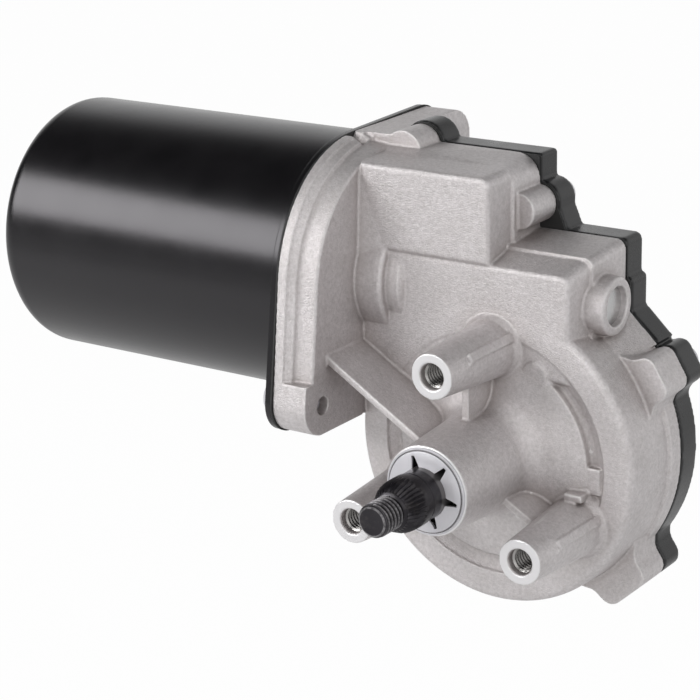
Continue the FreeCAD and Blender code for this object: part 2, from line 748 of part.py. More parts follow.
def joint_slab(grow, y_front, y_back):
    """Slab of the joint's outline, clear of the motor flange and of the bearing neck."""
    slab = fused([wire_prism_y(wire, y_front, y_back) for wire in joint_outline(grow)])
    far = 2 * (motor_z + rim_radius)
    past_flange = box((-far, FLANGE_X + 0.3), (y_front - 1, y_back + 1), (-far, far))
    neck_room = rod_x(MESH_DEPTH, motor_z, NECK_RADIUS + 0.3, FLANGE_X - 1, neck_end + 0.3)
    return slab.cut([past_flange, neck_room])


def gear_cavity():
    return ring_y(0, cavity_radius, cavity_front, joint_plane + 1)


def lead_room(y_front, y_back):
    """Room for the leads behind the upper box, above the bearing neck."""
    low = motor_z + NECK_RADIUS + COVER_WALL
    return prism_y([
        (FLANGE_X + CASTING_WALL, low),
        (BOX_RIGHT - CASTING_WALL, low),
        (BOX_RIGHT - CASTING_WALL, box_top - CASTING_WALL + 1, 4.0),
        (FLANGE_X + CASTING_WALL, box_top - CASTING_WALL + 1),
    ], y_front, y_back)


def box_cavity():
    """Room behind the upper box for the leads, and the window to the brush gear."""
    room = lead_room(front_plane + CASTING_WALL, joint_plane + 1)
    window = box((recess_floor - 1, FLANGE_X + CASTING_WALL + 1), lead_window_y(), lead_window_z())
    return [room, window]


def lead_window_y():
    return (MESH_DEPTH - LEAD_WINDOW_WIDTH / 2, MESH_DEPTH + LEAD_WINDOW_WIDTH / 2)


def lead_window_z():
    low = motor_z + NECK_RADIUS + COVER_WALL
    return (low, low + LEAD_WINDOW_HEIGHT)


def motor_bores():
    """Brush gear recess, bearing seat, worm tunnel and the bores of the worm boss."""
    tunnel_end = tip_seat - TIP_BUSH_ROOM / 2
    return [
        rod_x(MESH_DEPTH, motor_z, recess_radius, can_joint - 1, recess_floor),
        rod_x(MESH_DEPTH, motor_z, BEARING_OUTER_RADIUS + SEAT_FIT, recess_floor - 1, bearing_shoulder),
        rod_x(MESH_DEPTH, motor_z, tunnel_radius, bearing_shoulder - 1, tunnel_end),
        rod_x(MESH_DEPTH, motor_z, TIP_BUSH_OUTER_RADIUS + SEAT_FIT, tunnel_end - 1, boss_reach + 1),
    ]


def shaft_bores():
    """Star washer recess, seal seat and bush bore of the shaft boss."""
    face = -SHAFT_BOSS_PROUD
    seal_back = face + STAR_RECESS_DEPTH + SEAL_SEAT_DEPTH
    return [
        rod_y(0, 0, STAR_WASHER_RADIUS + SLIP_FIT, face - 1, face + STAR_RECESS_DEPTH),
        rod_y(0, 0, SHAFT_RADIUS + SEAL_SECTION - SLIP_FIT, face, seal_back),
        rod_y(0, 0, bush_bore + SEAT_FIT, seal_back - 0.5, cavity_front + 1),
    ]


def mount_bores():
    tools = []
    for angle in mount_angles:
        x, z = on_circle(MOUNT_CIRCLE_RADIUS, angle)
        mouth = MOUNT_MOUTH_RADIUS - MOUNT_BORE_RADIUS
        tools.append(rod_y(x, z, MOUNT_BORE_RADIUS, -1, MOUNT_BORE_DEPTH))
        tools.append(cone_y(x, z, MOUNT_MOUTH_RADIUS, MOUNT_BORE_RADIUS, 0, mouth))
    return tools


def screw_bores():
    tools = []
    for y, z in ear_centres():
        tools.append(rod_x(y, z, EAR_SCREW_RADIUS + SLIP_FIT, can_joint - 1, FLANGE_X + 1))
    for x, z in column_centres():
        tools.append(rod_y(x, z, TAPPED_RADIUS, joint_plane - TAPPED_DEPTH, joint_plane + 1))
    return tools


def gear_housing():
    forms = [bowl_outside(), left_web(), neck(), worm_boss(), gusset()]
    forms += worm_block() + upper_box() + flange_outside() + screw_columns() + groove_pads()
    forms.append(corner_web())
    for i, heading in STRIP_HEADINGS.items():
        forms += boss_strip(mount_angles[i], heading)
    for angle in mount_angles:
        forms += mount_boss(angle)
        forms.append(radial_rib(angle))
    tools = [gear_cavity()] + box_cavity() + motor_bores() + shaft_bores() + mount_bores() + screw_bores()
    return fused(forms).cut(tools).removeSplitter()


# Gear cover, its gasket and screws

def cover_room(y_front, y_back):
    """Space inside the cover, over the gear cavity and the box room."""
    disc = ring_y(0, cavity_radius, y_front, y_back)
    beside_neck = box((FLANGE_X, neck_end + COVER_WALL), (y_front - 1, y_back + 1),
                      (motor_z - NECK_RADIUS - COVER_WALL, motor_z + NECK_RADIUS))
    passage = box((neck_end + COVER_WALL, BOX_RIGHT - CASTING_WALL), (y_front, y_back),
                  (cavity_radius - 12, motor_z + NECK_RADIUS + COVER_WALL + 1))
    return [disc.cut(beside_neck), lead_room(y_front, y_back), passage]


def shroud_centre():
    return (FLANGE_X + 14.0, block_top + 5.5)


def connector_shroud():
    x, z = shroud_centre()
    half = (SHROUD_WIDTH / 2, SHROUD_HEIGHT / 2)
    outer = [(x - half[0], z - half[1], 2.0), (x + half[0], z - half[1], 2.0),
             (x + half[0], z + half[1], 2.0), (x - half[0], z + half[1], 2.0)]
    wall = SHROUD_WALL
    inner = [(x - half[0] + wall, z - half[1] + wall, 1.0), (x + half[0] - wall, z - half[1] + wall, 1.0),
             (x + half[0] - wall, z + half[1] - wall, 1.0), (x - half[0] + wall, z + half[1] - wall, 1.0)]
    outside = prism_y(outer, cover_back - 0.5, cover_back + SHROUD_DEPTH)
    inside = prism_y(inner, cover_back + 0.5, cover_back + SHROUD_DEPTH + 1)
    return outside, inside


def terminal_middles():
    """X of each connector blade."""
    step = (SHROUD_WIDTH - 2 * SHROUD_WALL) / TERMINAL_COUNT
    return [shroud_centre()[0] + (i - (TERMINAL_COUNT - 1) / 2) * step for i in range(TERMINAL_COUNT)]


def terminal(middle, back, grow):
    """Angled connector blade: a foot on the cover's inner face and the blade out of it."""
    z = shroud_centre()[1]
    across = (middle - TERMINAL_WIDTH / 2 - grow, middle + TERMINAL_WIDTH / 2 + grow)
    low = z - TERMINAL_THICKNESS / 2 - grow
    foot = box(across, (terminal_foot() - grow, cover_back - COVER_WALL), (low, lead_z() + 1.0 + grow))
    blade = box(across, (terminal_foot() - grow, back), (low, z + TERMINAL_THICKNESS / 2 + grow))
    return foot.fuse(blade).removeSplitter()


def terminal_foot():
    """Y of the face of the terminals that the motor leads meet."""
    return cover_back - COVER_WALL - TERMINAL_THICKNESS


def finger_angles():
    return [200 + 20 * i for i in range(FINGER_COUNT)]


def finger_posts():
    """Posts inside the cover that carry the park switch fingers."""
    posts = []
    for angle in finger_angles():
        x, z = on_circle(CONTACT_DISC_OUTER + FINGER_POST_MARGIN, angle)
        posts.append(rod_y(x, z, FINGER_POST_RADIUS, finger_back(), cover_back - 0.5))
    return posts


def finger_back():
    return wheel_back + CONTACT_DISC_THICKNESS + FINGER_LIFT


def gear_cover():
    body = joint_slab(0, cover_front, cover_back)
    shroud, socket = connector_shroud()
    tools = cover_room(cover_front - 1, cover_back - COVER_WALL) + [socket]
    for middle in terminal_middles():
        tools.append(terminal(middle, cover_back + SHROUD_WALL, SEAT_FIT))
    for x, z in column_centres():
        tools.append(rod_y(x, z, COVER_SCREW_RADIUS + SLIP_FIT, cover_front - 1, cover_back + 1))
    shell = fused([body, shroud]).cut(tools)
    return fused([shell] + finger_posts())


def cover_gasket():
    tools = cover_room(joint_plane - 1, cover_front + 1)
    for x, z in column_centres():
        tools.append(rod_y(x, z, COVER_SCREW_RADIUS + SLIP_FIT, joint_plane - 1, cover_front + 1))
    return joint_slab(-0.3, joint_plane, cover_front).cut(tools)


def cover_screws():
    screws = []
    tip = joint_plane - TAPPED_DEPTH + 1.0
    for x, z in column_centres():
        shank = rod_y(x, z, COVER_SCREW_RADIUS, tip, cover_back)
        head = rod_y(x, z, COVER_SCREW_HEAD_RADIUS, cover_back, cover_back + COVER_SCREW_HEAD_HEIGHT)
        socket = rod_y(x, z, COVER_SCREW_RADIUS - 0.2, cover_back + 1.2,
                       cover_back + COVER_SCREW_HEAD_HEIGHT + 1)
        screws.append(shank.fuse(head).cut(socket))
    return Part.makeCompound(screws)


def connector_terminals():
    back = cover_back + SHROUD_DEPTH - TERMINAL_SETBACK
    return Part.makeCompound([terminal(middle, back, 0) for middle in terminal_middles()])


def park_contacts():
    """Leaf springs that ride on the contact disc."""
    fingers = []
    back = finger_back()
    touch = wheel_back + CONTACT_DISC_THICKNESS + SLIP_FIT
    for i, angle in enumerate(finger_angles()):
        reach = CONTACT_DISC_OUTER + FINGER_POST_MARGIN
        tip = CONTACT_DISC_OUTER - FINGER_TRACK_MARGIN - FINGER_STAGGER * i
        bend = reach - 1.4 * FINGER_POST_RADIUS
        end = reach + 0.9 * FINGER_POST_RADIUS
        toe = 3 * FINGER_THICKNESS
        profile = [
            (tip, touch), (tip + toe, touch),
            (bend, back - FINGER_THICKNESS), (end, back - FINGER_THICKNESS),
            (end, back), (bend - 0.2, back),
            (tip + toe - 0.2, touch + FINGER_THICKNESS), (tip, touch + FINGER_THICKNESS),
        ]
        leaf = Part.Face(rounded_wire(profile)).extrude(point(0, 0, FINGER_WIDTH))
        leaf.translate(point(0, 0, -FINGER_WIDTH / 2))
        fingers.append(about_output(leaf, angle))
    return Part.makeCompound(fingers)


# Motor can, magnets and screws

def can_plate(x_start, x_end, inner, margin):
    """Plate of the flange's outline with its screw holes."""
    round_part = flange_radius - margin
    ear_part = EAR_RADIUS + EAR_PLATE_MARGIN - margin
    ears = [wire_prism_x(belt_wire(motor_centre(), round_part, ear, ear_part), x_start, x_end)
            for ear in ear_centres()]
    holes = [rod_x(y, z, EAR_SCREW_RADIUS + SLIP_FIT, x_start - 1, x_end + 1) for y, z in ear_centres()]
    opening = rod_x(MESH_DEPTH, motor_z, inner, x_start - 1, x_end + 1)
    return fused(ears).cut(holes + [opening])


def motor_can():
    dome_outer = REAR_BUSH_OUTER_RADIUS + SEAT_FIT + CAN_WALL
    shell = turned_x([
        (can_end - CAN_DOME_DEPTH, 0),
        (can_end - CAN_DOME_DEPTH, dome_outer - 1.2),
        (can_end - CAN_DOME_DEPTH + 1.2, dome_outer),
        (can_end, dome_outer),
        (can_end, CAN_RADIUS, CAN_ROUND),
        (can_mouth, CAN_RADIUS),
        (can_mouth, can_inner),
        (can_end + CAN_ROUND, can_inner),
        (can_end + CAN_WALL, can_inner - CAN_ROUND + CAN_WALL),
        (can_end + CAN_WALL, REAR_BUSH_OUTER_RADIUS + SEAT_FIT),
        (can_end - CAN_DOME_DEPTH + CAN_WALL, REAR_BUSH_OUTER_RADIUS + SEAT_FIT),
        (can_end - CAN_DOME_DEPTH + CAN_WALL, 0),
    ])
    plate = can_plate(can_mouth - CAN_PLATE_THICKNESS, can_mouth, can_inner, 0.2)
    return fused([shell, plate])


def can_gasket():
    return can_plate(can_mouth, can_joint, recess_radius + 0.5, 0.1)


def can_screws():
    """Two pan-head screws with hexagon sockets that clamp the can through its ears."""
    screws = []
    seat = can_mouth - CAN_PLATE_THICKNESS
    end = seat - EAR_SCREW_HEAD_HEIGHT
    for y, z in ear_centres():
        shank = rod_x(y, z, EAR_SCREW_RADIUS, seat, seat + EAR_SCREW_LENGTH)
        head = rod_x(y, z, EAR_SCREW_HEAD_RADIUS, end, seat)
        rim = [edge for edge in head.Edges if all(abs(v.X - end) < 1e-6 for v in edge.Vertexes)]
        head = head.makeFillet(0.4 * EAR_SCREW_HEAD_HEIGHT, rim)
        hexagon = [on_circle(EAR_SCREW_KEY_RADIUS, 60 * i, (y, z)) for i in range(6)]
        socket = prism_x(hexagon, end - 1, end + EAR_SCREW_KEY_DEPTH)
        screws.append(shank.fuse(head).cut(socket))
    return Part.makeCompound(screws)


def magnet_ends():
    end = can_joint - MAGNET_SETBACK
    return end - MAGNET_LENGTH, end


def field_magnets():
    x_start, x_end = magnet_ends()
    outer = can_inner - SEAT_FIT
    half = MAGNET_SPAN / 2
    return Part.makeCompound([sector_x(magnet_inner, outer, middle - half, middle + half, x_start, x_end)
                              for middle in (0, 180)])


def magnet_clips():
    """Bent spring clips that press the magnets apart at the top and the bottom."""
    x_start, x_end = magnet_ends()
    gap = 90 - MAGNET_SPAN / 2
    outer = can_inner - SEAT_FIT
    clips = []
    for middle in (90, 270):
        foot = sector_x(outer - CLIP_THICKNESS, outer, middle - gap + 1, middle + gap - 1, x_start, x_end)
        legs = [sector_x(magnet_inner + 0.5, outer, middle + side * (gap - 1) - 0.6,
                         middle + side * (gap - 1) + 0.6, x_start, x_end) for side in (-1, 1)]
        clips.append(fused([foot] + legs))
    return Part.makeCompound(clips)


def rear_bush():
    floor = can_end - CAN_DOME_DEPTH + CAN_WALL
    return ring_x(ARMATURE_SHAFT_RADIUS + RUNNING_FIT, REAR_BUSH_OUTER_RADIUS, floor + 1.0,
                  floor + 1.0 + REAR_BUSH_SEAT_LENGTH)


def bush_retainer():
    """Star spring that holds the rear bush in the can's dome."""
    x = can_end - CAN_DOME_DEPTH + CAN_WALL + 1.0 + REAR_BUSH_SEAT_LENGTH
    return ring_x(ARMATURE_SHAFT_RADIUS + 1.5, REAR_BUSH_OUTER_RADIUS + 4.0, x, x + 0.7)


# Armature

def gap_profile():
    """Axial section of the gap between two worm threads, as (x, radius)."""
    half = (axial_pitch + TOOTH_PLAY) / 4
    slope = tan(radians(PRESSURE_ANGLE))
    outside = worm_tip_radius + 0.4
    low = half - DEDENDUM * slope
    high = half + (outside - WORM_PITCH_RADIUS) * slope
    return [(-low, worm_root_radius), (low, worm_root_radius), (high, outside), (-high, outside)]


def side_pairs(corners):
    return [(corners[i], corners[(i + 1) % len(corners)]) for i in range(len(corners))]


def worm_gap(turns):
    """Helical gap of the right-hand worm, drawn about z and centred on it."""
    helix = Part.makeHelix(axial_pitch, turns * axial_pitch, WORM_PITCH_RADIUS)
    section = Part.Wire([
        Part.LineSegment(point(a[1], 0, a[0]), point(b[1], 0, b[0])).toShape()
        for a, b in side_pairs(gap_profile())
    ])
    gap = Part.Wire(helix.Edges).makePipeShell([section], True, True)
    gap.translate(point(0, 0, -turns * axial_pitch / 2))
    return gap


def worm():
    """Worm cut from a round blank; an odd count of turns puts a thread over the wheel's gap."""
    turns = 2 * int(worm_half / axial_pitch) + 3
    overall = turns * axial_pitch + 6
    blank = Part.makeCylinder(worm_tip_radius, overall, point(0, 0, -overall / 2))
    threaded = blank.cut(worm_gap(turns))
    threaded.Placement = FreeCAD.Placement(MOTOR_AXIS, FreeCAD.Rotation(Y_DIR, 90))
    return threaded.common(worm_envelope())


def worm_envelope():
    crest = worm_tip_radius + 0.01
    return turned_x([(-worm_end, 0), (-worm_end, worm_end_radius), (-worm_half, crest),
                     (worm_half, crest), (worm_end, worm_end_radius), (worm_end, 0)])


def armature_shaft():
    rear = can_end - CAN_DOME_DEPTH + CAN_WALL + REAR_END_PLAY
    main = turned_x([
        (rear, 0),
        (rear, ARMATURE_SHAFT_RADIUS - 0.5),
        (rear + 0.5, ARMATURE_SHAFT_RADIUS),
        (-worm_end - 1.4, ARMATURE_SHAFT_RADIUS),
        (-worm_end, worm_end_radius),
        (-worm_end, 0),
    ])
    tip = turned_x([(worm_end, 0), (worm_end, worm_end_radius), (tip_end, worm_end_radius), (tip_end, 0)])
    return fused([main, worm(), tip])


def slot_tool(grow):
    """One winding slot at the top of the core, from its mouth to the core's hub."""
    half_pitch = 180 / CORE_SLOTS
    crown = core_radius - POLE_TIP_THICKNESS - grow
    base = CORE_HUB_RADIUS + 3.0 + grow
    wide = crown * sin(radians(half_pitch)) - TOOTH_WIDTH / 2 - grow
    narrow = base * sin(radians(half_pitch)) - TOOTH_WIDTH / 2 - grow
    return [(-wide, crown * cos(radians(half_pitch)) - 0.2), (-narrow, base), (narrow, base),
            (wide, crown * cos(radians(half_pitch)) - 0.2), (0, crown)]


def armature_core():
    body = ring_x(ARMATURE_SHAFT_RADIUS + SEAT_FIT, core_radius, core_start, core_end)
    slot = prism_x(slot_tool(0), core_start - 1, core_end + 1)
    slot.translate(MOTOR_AXIS)
    mouth = box((core_start - 1, core_end + 1), (-SLOT_MOUTH / 2, SLOT_MOUTH / 2),
                (core_radius - POLE_TIP_THICKNESS - 1, core_radius + 1))
    mouth.translate(MOTOR_AXIS)
    tools = []
    for i in range(CORE_SLOTS):
        tools += [about_motor(slot, 360 * i / CORE_SLOTS), about_motor(mouth, 360 * i / CORE_SLOTS)]
    return body.cut(tools)


def armature_windings():
    """Copper that fills the slots, with the bundled end turns on both sides."""
    gap = 0.3
    bar = prism_x(slot_tool(gap), core_start - 2, core_end + 2)
    bar.translate(MOTOR_AXIS)
    inner = CORE_HUB_RADIUS - 1.5
    outer = core_radius - POLE_TIP_THICKNESS - 0.5
    pieces = [about_motor(bar, 360 * i / CORE_SLOTS) for i in range(CORE_SLOTS)]
    for near, far in ((core_end + gap, core_end + END_TURN_LENGTH),
                      (core_start - gap, core_start - END_TURN_LENGTH)):
        bevel = 1.8 if far > near else -1.8
        pieces.append(turned_x([(near, inner), (far, inner), (far, outer - 3), (far - bevel, outer),
                                (near, outer)]))
    return fused(pieces)


def commutator_hub():
    return ring_x(ARMATURE_SHAFT_RADIUS + SEAT_FIT, COMMUTATOR_RADIUS - COMMUTATOR_BAR_THICKNESS - SEAT_FIT,
                  commutator_start - RISER_LENGTH, commutator_end)


def commutator_bars():
    bars = []
    inner = COMMUTATOR_RADIUS - COMMUTATOR_BAR_THICKNESS
    pitch = 360 / CORE_SLOTS
    gap = degrees(COMMUTATOR_GAP / COMMUTATOR_RADIUS)
    for i in range(CORE_SLOTS):
        start = i * pitch + gap / 2
        end = (i + 1) * pitch - gap / 2
        bar = sector_x(inner, COMMUTATOR_RADIUS, start, end, commutator_start, commutator_end)
        riser = sector_x(inner, COMMUTATOR_RADIUS + RISER_HEIGHT, start + 5, end - 5,
                         commutator_start - RISER_LENGTH, commutator_start)
        bars.append(bar.fuse(riser))
    return Part.makeCompound(bars)


def thrust_ball():
    middle = tip_end + THRUST_BALL_RADIUS + SEAT_FIT
    return Part.makeSphere(THRUST_BALL_RADIUS, point(middle, MESH_DEPTH, motor_z))


# Bearings of the armature

def bearing_middle():
    return recess_floor + BEARING_WIDTH / 2


def ball_circle():
    return (ARMATURE_SHAFT_RADIUS + BEARING_OUTER_RADIUS) / 2


def ball_groove():
    return Part.makeTorus(ball_circle(), BEARING_BALL_RADIUS + 2 * SEAT_FIT,
                          point(bearing_middle(), MESH_DEPTH, motor_z), X_DIR)


def bearing_outer_ring():
    ring = ring_x(BEARING_OUTER_RADIUS - RACE_THICKNESS, BEARING_OUTER_RADIUS,
                  recess_floor, bearing_shoulder)
    return ring.cut(ball_groove())


def bearing_inner_ring():
    ring = ring_x(ARMATURE_SHAFT_RADIUS + SEAT_FIT, ARMATURE_SHAFT_RADIUS + RACE_THICKNESS,
                  recess_floor, bearing_shoulder)
    return ring.cut(ball_groove())


def bearing_ball(angle):
    ball = Part.makeSphere(BEARING_BALL_RADIUS)
    y, z = on_circle(ball_circle(), angle, motor_centre())
    ball.translate(point(bearing_middle(), y, z))
    return ball


def bearing_balls():
    return Part.makeCompound([bearing_ball(360 * i / BEARING_BALLS) for i in range(BEARING_BALLS)])


def bearing_cage():
    """Snap cage: a side ring with open pockets between the balls."""
    inner = ARMATURE_SHAFT_RADIUS + RACE_THICKNESS + 0.3
    outer = BEARING_OUTER_RADIUS - RACE_THICKNESS - 0.3
    ring = ring_x(inner, outer, bearing_middle() - 0.4, bearing_shoulder - 0.6)
    pockets = []
    for i in range(BEARING_BALLS):
        y, z = on_circle(ball_circle(), 360 * i / BEARING_BALLS, motor_centre())
        pockets.append(Part.makeSphere(BEARING_BALL_RADIUS + 0.08, point(bearing_middle(), y, z)))
    return ring.cut(pockets)


def bearing_retainer():
    """Plate against the recess floor that keeps the bearing in its seat."""
    return ring_x(BEARING_OUTER_RADIUS - 1.2, BEARING_OUTER_RADIUS + 5, card_back, recess_floor)


def tip_bush():
    return ring_x(worm_end_radius + RUNNING_FIT, TIP_BUSH_OUTER_RADIUS, tip_seat, tip_end)


def thrust_plug():
    """Plug pressed into the worm boss; the thrust ball runs against it."""
    start = tip_end
    ball_end = start + 2 * THRUST_BALL_RADIUS + 2 * SEAT_FIT
    return turned_x([
        (start, THRUST_BALL_RADIUS + 0.3),
        (ball_end, THRUST_BALL_RADIUS + 0.3),
        (ball_end, 0),
        (ball_end + THRUST_PLUG_THICKNESS, 0),
        (ball_end + THRUST_PLUG_THICKNESS, TIP_BUSH_OUTER_RADIUS),
        (start, TIP_BUSH_OUTER_RADIUS),
    ])


# Brush gear

def brush_card():
    """Moulded plate in the flange recess that carries the brushes and the chokes."""
    outer = recess_radius - CARD_EDGE_ROOM
    hole = COMMUTATOR_RADIUS + RISER_HEIGHT + 1.0
    plate = ring_x(hole, outer, card_front, card_back)
    return plate.cut([lead_strip(y, card_front - 2, card_back + 1, SEAT_FIT) for y in lead_rows()])


def radial_box(inner, outer, width, x_start, x_end, angle):
    """Box along one radius of the motor shaft, from one distance to another."""
    block = box((x_start, x_end), (inner, outer), (-width / 2, width / 2))
    block.translate(MOTOR_AXIS)
    return about_motor(block, angle)


def brush_middle():
    return (commutator_start + commutator_end) / 2


def brushes():
    inner = COMMUTATOR_RADIUS + 2 * SEAT_FIT
    half = BRUSH_AXIAL / 2
    mid = brush_middle()
    face = rod_x(MESH_DEPTH, motor_z, inner, mid - BRUSH_AXIAL, mid + BRUSH_AXIAL)
    return Part.makeCompound([
        radial_box(inner - 1, inner + BRUSH_LENGTH, BRUSH_WIDTH, mid - half, mid + half, angle).cut(face)
        for angle in BRUSH_ANGLES])


def brush_holders():
    """Brass boxes that guide the brushes, each standing on the brush card."""
    inner = COMMUTATOR_RADIUS + 1.5
    outer = recess_radius - 4
    mid = brush_middle()
    half = BRUSH_AXIAL / 2 + SLIP_FIT
    holders = []
    for angle in BRUSH_ANGLES:
        shell = radial_box(inner, outer, BRUSH_WIDTH + 2 * SLIP_FIT + 2 * HOLDER_WALL,
                           mid - half - HOLDER_WALL, card_front, angle)
        room = radial_box(inner - 1, outer + 1, BRUSH_WIDTH + 2 * SLIP_FIT, mid - half, mid + half, angle)
        holders.append(shell.cut(room))
    return Part.makeCompound(holders)


def brush_springs():
    """Leaf springs behind the brushes, bowed between the brush and the holder's end."""
    start = COMMUTATOR_RADIUS + 2 * SEAT_FIT + BRUSH_LENGTH + SEAT_FIT
    end = recess_radius - 4.6
    mid = brush_middle()
    half = BRUSH_AXIAL / 2 - 0.5
    leaves = []
    for angle in BRUSH_ANGLES:
        outline = [(start, -1.7), (start + 0.5, -1.7), (end, 0),
                   (start + 0.5, 1.7), (start, 1.7), (end - 0.6, 0)]
        leaf = wire_prism_x(rounded_wire(outline), mid - half, mid + half)
        leaf.translate(MOTOR_AXIS)
        leaves.append(about_motor(leaf, angle))
    return Part.makeCompound(leaves)


def choke_spots():
    return [on_circle(recess_radius - CHOKE_RADIUS - 2.0, angle, motor_centre()) for angle in (140, 305)]


def choke_coils():
    coils = []
    for y, z in choke_spots():
        coil = rod_x(y, z, CHOKE_RADIUS, card_front - CHOKE_LENGTH, card_front)
        core = rod_x(y, z, CHOKE_CORE_RADIUS + SEAT_FIT, card_front - CHOKE_LENGTH - 1, card_front + 1)
        coils.append(coil.cut(core))
    return Part.makeCompound(coils)


def choke_cores():
    return Part.makeCompound([rod_x(y, z, CHOKE_CORE_RADIUS, card_front - CHOKE_LENGTH - 1.5, card_front)
                              for y, z in choke_spots()])


def suppressor():
    """Suppressor capacitor on the brush card."""
    y, z = on_circle(recess_radius - 7.5, 38, motor_centre())
    outline = [(y - 4, z - 2.5, 1.2), (y + 4, z - 2.5, 1.2), (y + 4, z + 2.5, 1.2), (y - 4, z + 2.5, 1.2)]
    return prism_x(outline, card_front - 9, card_front)


def lead_z():
    return sum(lead_window_z()) / 2


def lead_rows():
    """Y of each motor lead, from the cover's side forward."""
    low, high = lead_window_y()
    return [high - (high - low) * (i + 0.5) / LEAD_COUNT for i in range(LEAD_COUNT)]


def lead_strip(y, x_start, x_end, grow):
    half = LEAD_THICKNESS / 2 + grow
    return box((x_start, x_end), (y - LEAD_WIDTH / 2 - grow, y + LEAD_WIDTH / 2 + grow),
               (lead_z() - half, lead_z() + half))


def motor_leads():
    """Bent strips from the brush card through the window to the feet of the connector blades."""
    leads = []
    half = LEAD_THICKNESS / 2
    for y, middle in zip(lead_rows(), terminal_middles()):
        end = middle + LEAD_WIDTH / 2
        rise = box((middle - LEAD_WIDTH / 2, end), (y - LEAD_WIDTH / 2, terminal_foot()),
                   (lead_z() - half, lead_z() + half))
        leads.append(lead_strip(y, card_front - LEAD_STUB, end, 0).fuse(rise).removeSplitter())
    return Part.makeCompound(leads)


# Output shaft and worm wheel

def serration_ring():
    """Toothed outline of the shaft's conical drive section."""
    corners = []
    for i in range(SERRATION_COUNT):
        step = 360 / SERRATION_COUNT
        corners.append(on_circle(SERRATION_RADIUS, i * step))
        corners.append(on_circle(SERRATION_RADIUS - SERRATION_DEPTH, (i + 0.5) * step))
    return corners


def output_shaft():
    tip = -SHAFT_REACH
    stud_end = tip + STUD_LENGTH
    drive_end = stud_end + SERRATION_LENGTH
    back = hub_back
    body = turned_y([
        (0, tip),
        (STUD_RADIUS - SHAFT_CHAMFER, tip),
        (STUD_RADIUS, tip + SHAFT_CHAMFER),
        (STUD_RADIUS, stud_end),
        (SERRATION_RADIUS - SERRATION_DEPTH - 0.1, stud_end + 0.5),
        (SERRATION_RADIUS - SERRATION_DEPTH - 0.1, drive_end),
        (SHAFT_RADIUS, drive_end),
        (SHAFT_RADIUS, back - 0.5),
        (SHAFT_RADIUS - 0.5, back),
        (0, back),
    ])
    teeth = prism_y(serration_ring(), stud_end + 0.7, drive_end)
    return body.fuse(teeth)


def star_washer():
    """Dished push-on washer; its tongues grip the output shaft."""
    back = -SHAFT_BOSS_PROUD + STAR_RECESS_DEPTH - 0.3
    thin = STAR_WASHER_THICKNESS
    grip = SHAFT_RADIUS + SEAT_FIT
    dish = turned_y([
        (grip, back - STAR_WASHER_DISH),
        (STAR_WASHER_RADIUS - 1.6, back),
        (STAR_WASHER_RADIUS, back),
        (STAR_WASHER_RADIUS, back - thin),
        (STAR_WASHER_RADIUS - 1.6, back - thin),
        (grip, back - thin - STAR_WASHER_DISH),
    ])
    slots = []
    for i in range(STAR_SLOTS):
        reach = STAR_WASHER_RADIUS - 1.2
        slot = box((0, reach), (back - 4, back + 1), (-STAR_SLOT_WIDTH / 2, STAR_SLOT_WIDTH / 2))
        slots.append(about_output(slot, 17 + 360 * i / STAR_SLOTS))
    return dish.cut(slots)


def shaft_seal():
    front = -SHAFT_BOSS_PROUD + STAR_RECESS_DEPTH
    inner = SHAFT_RADIUS + RUNNING_FIT
    outer = SHAFT_RADIUS + SEAL_SECTION - SLIP_FIT - SEAT_FIT
    return ring_y(inner, outer, front + 0.2, front + SEAL_SEAT_DEPTH - 0.1)


def shaft_bushes():
    front = -SHAFT_BOSS_PROUD + STAR_RECESS_DEPTH + SEAL_SEAT_DEPTH
    inner = SHAFT_RADIUS + RUNNING_FIT
    return Part.makeCompound([ring_y(inner, bush_bore, front, front + FRONT_BUSH_LENGTH),
                              ring_y(inner, bush_bore, cavity_front - REAR_BUSH_LENGTH, cavity_front)])


def thrust_washer():
    return ring_y(SHAFT_RADIUS + RUNNING_FIT, HUB_RADIUS + 1.5, cavity_front, hub_front - RUNNING_FIT)


def hub_profile(grow):
    mid = MESH_DEPTH + 1.0
    half = HUB_FLANGE_THICKNESS / 2 + grow
    return [
        (SHAFT_RADIUS + SEAT_FIT, hub_front),
        (HUB_RADIUS + grow, hub_front),
        (HUB_RADIUS + grow, mid - half),
        (HUB_FLANGE_RADIUS + grow, mid - half),
        (HUB_FLANGE_RADIUS + grow, mid + half),
        (HUB_RADIUS + grow, mid + half),
        (HUB_RADIUS + grow, hub_back - 0.6),
        (SHAFT_RADIUS + SEAT_FIT, hub_back - 0.6),
    ]


def wheel_hub():
    return turned_y(hub_profile(0))


def flank_angle(radius):
    """Half of a wheel tooth's angle at a radius, for an involute flank."""
    base = wheel_pitch_radius * cos(radians(PRESSURE_ANGLE))
    at_pitch = tan(radians(PRESSURE_ANGLE)) - radians(PRESSURE_ANGLE)
    slant = acos(min(1.0, base / radius))
    half_tooth = (axial_pitch - TOOTH_PLAY) / 4 / wheel_pitch_radius
    return degrees(half_tooth + at_pitch - (tan(slant) - slant))


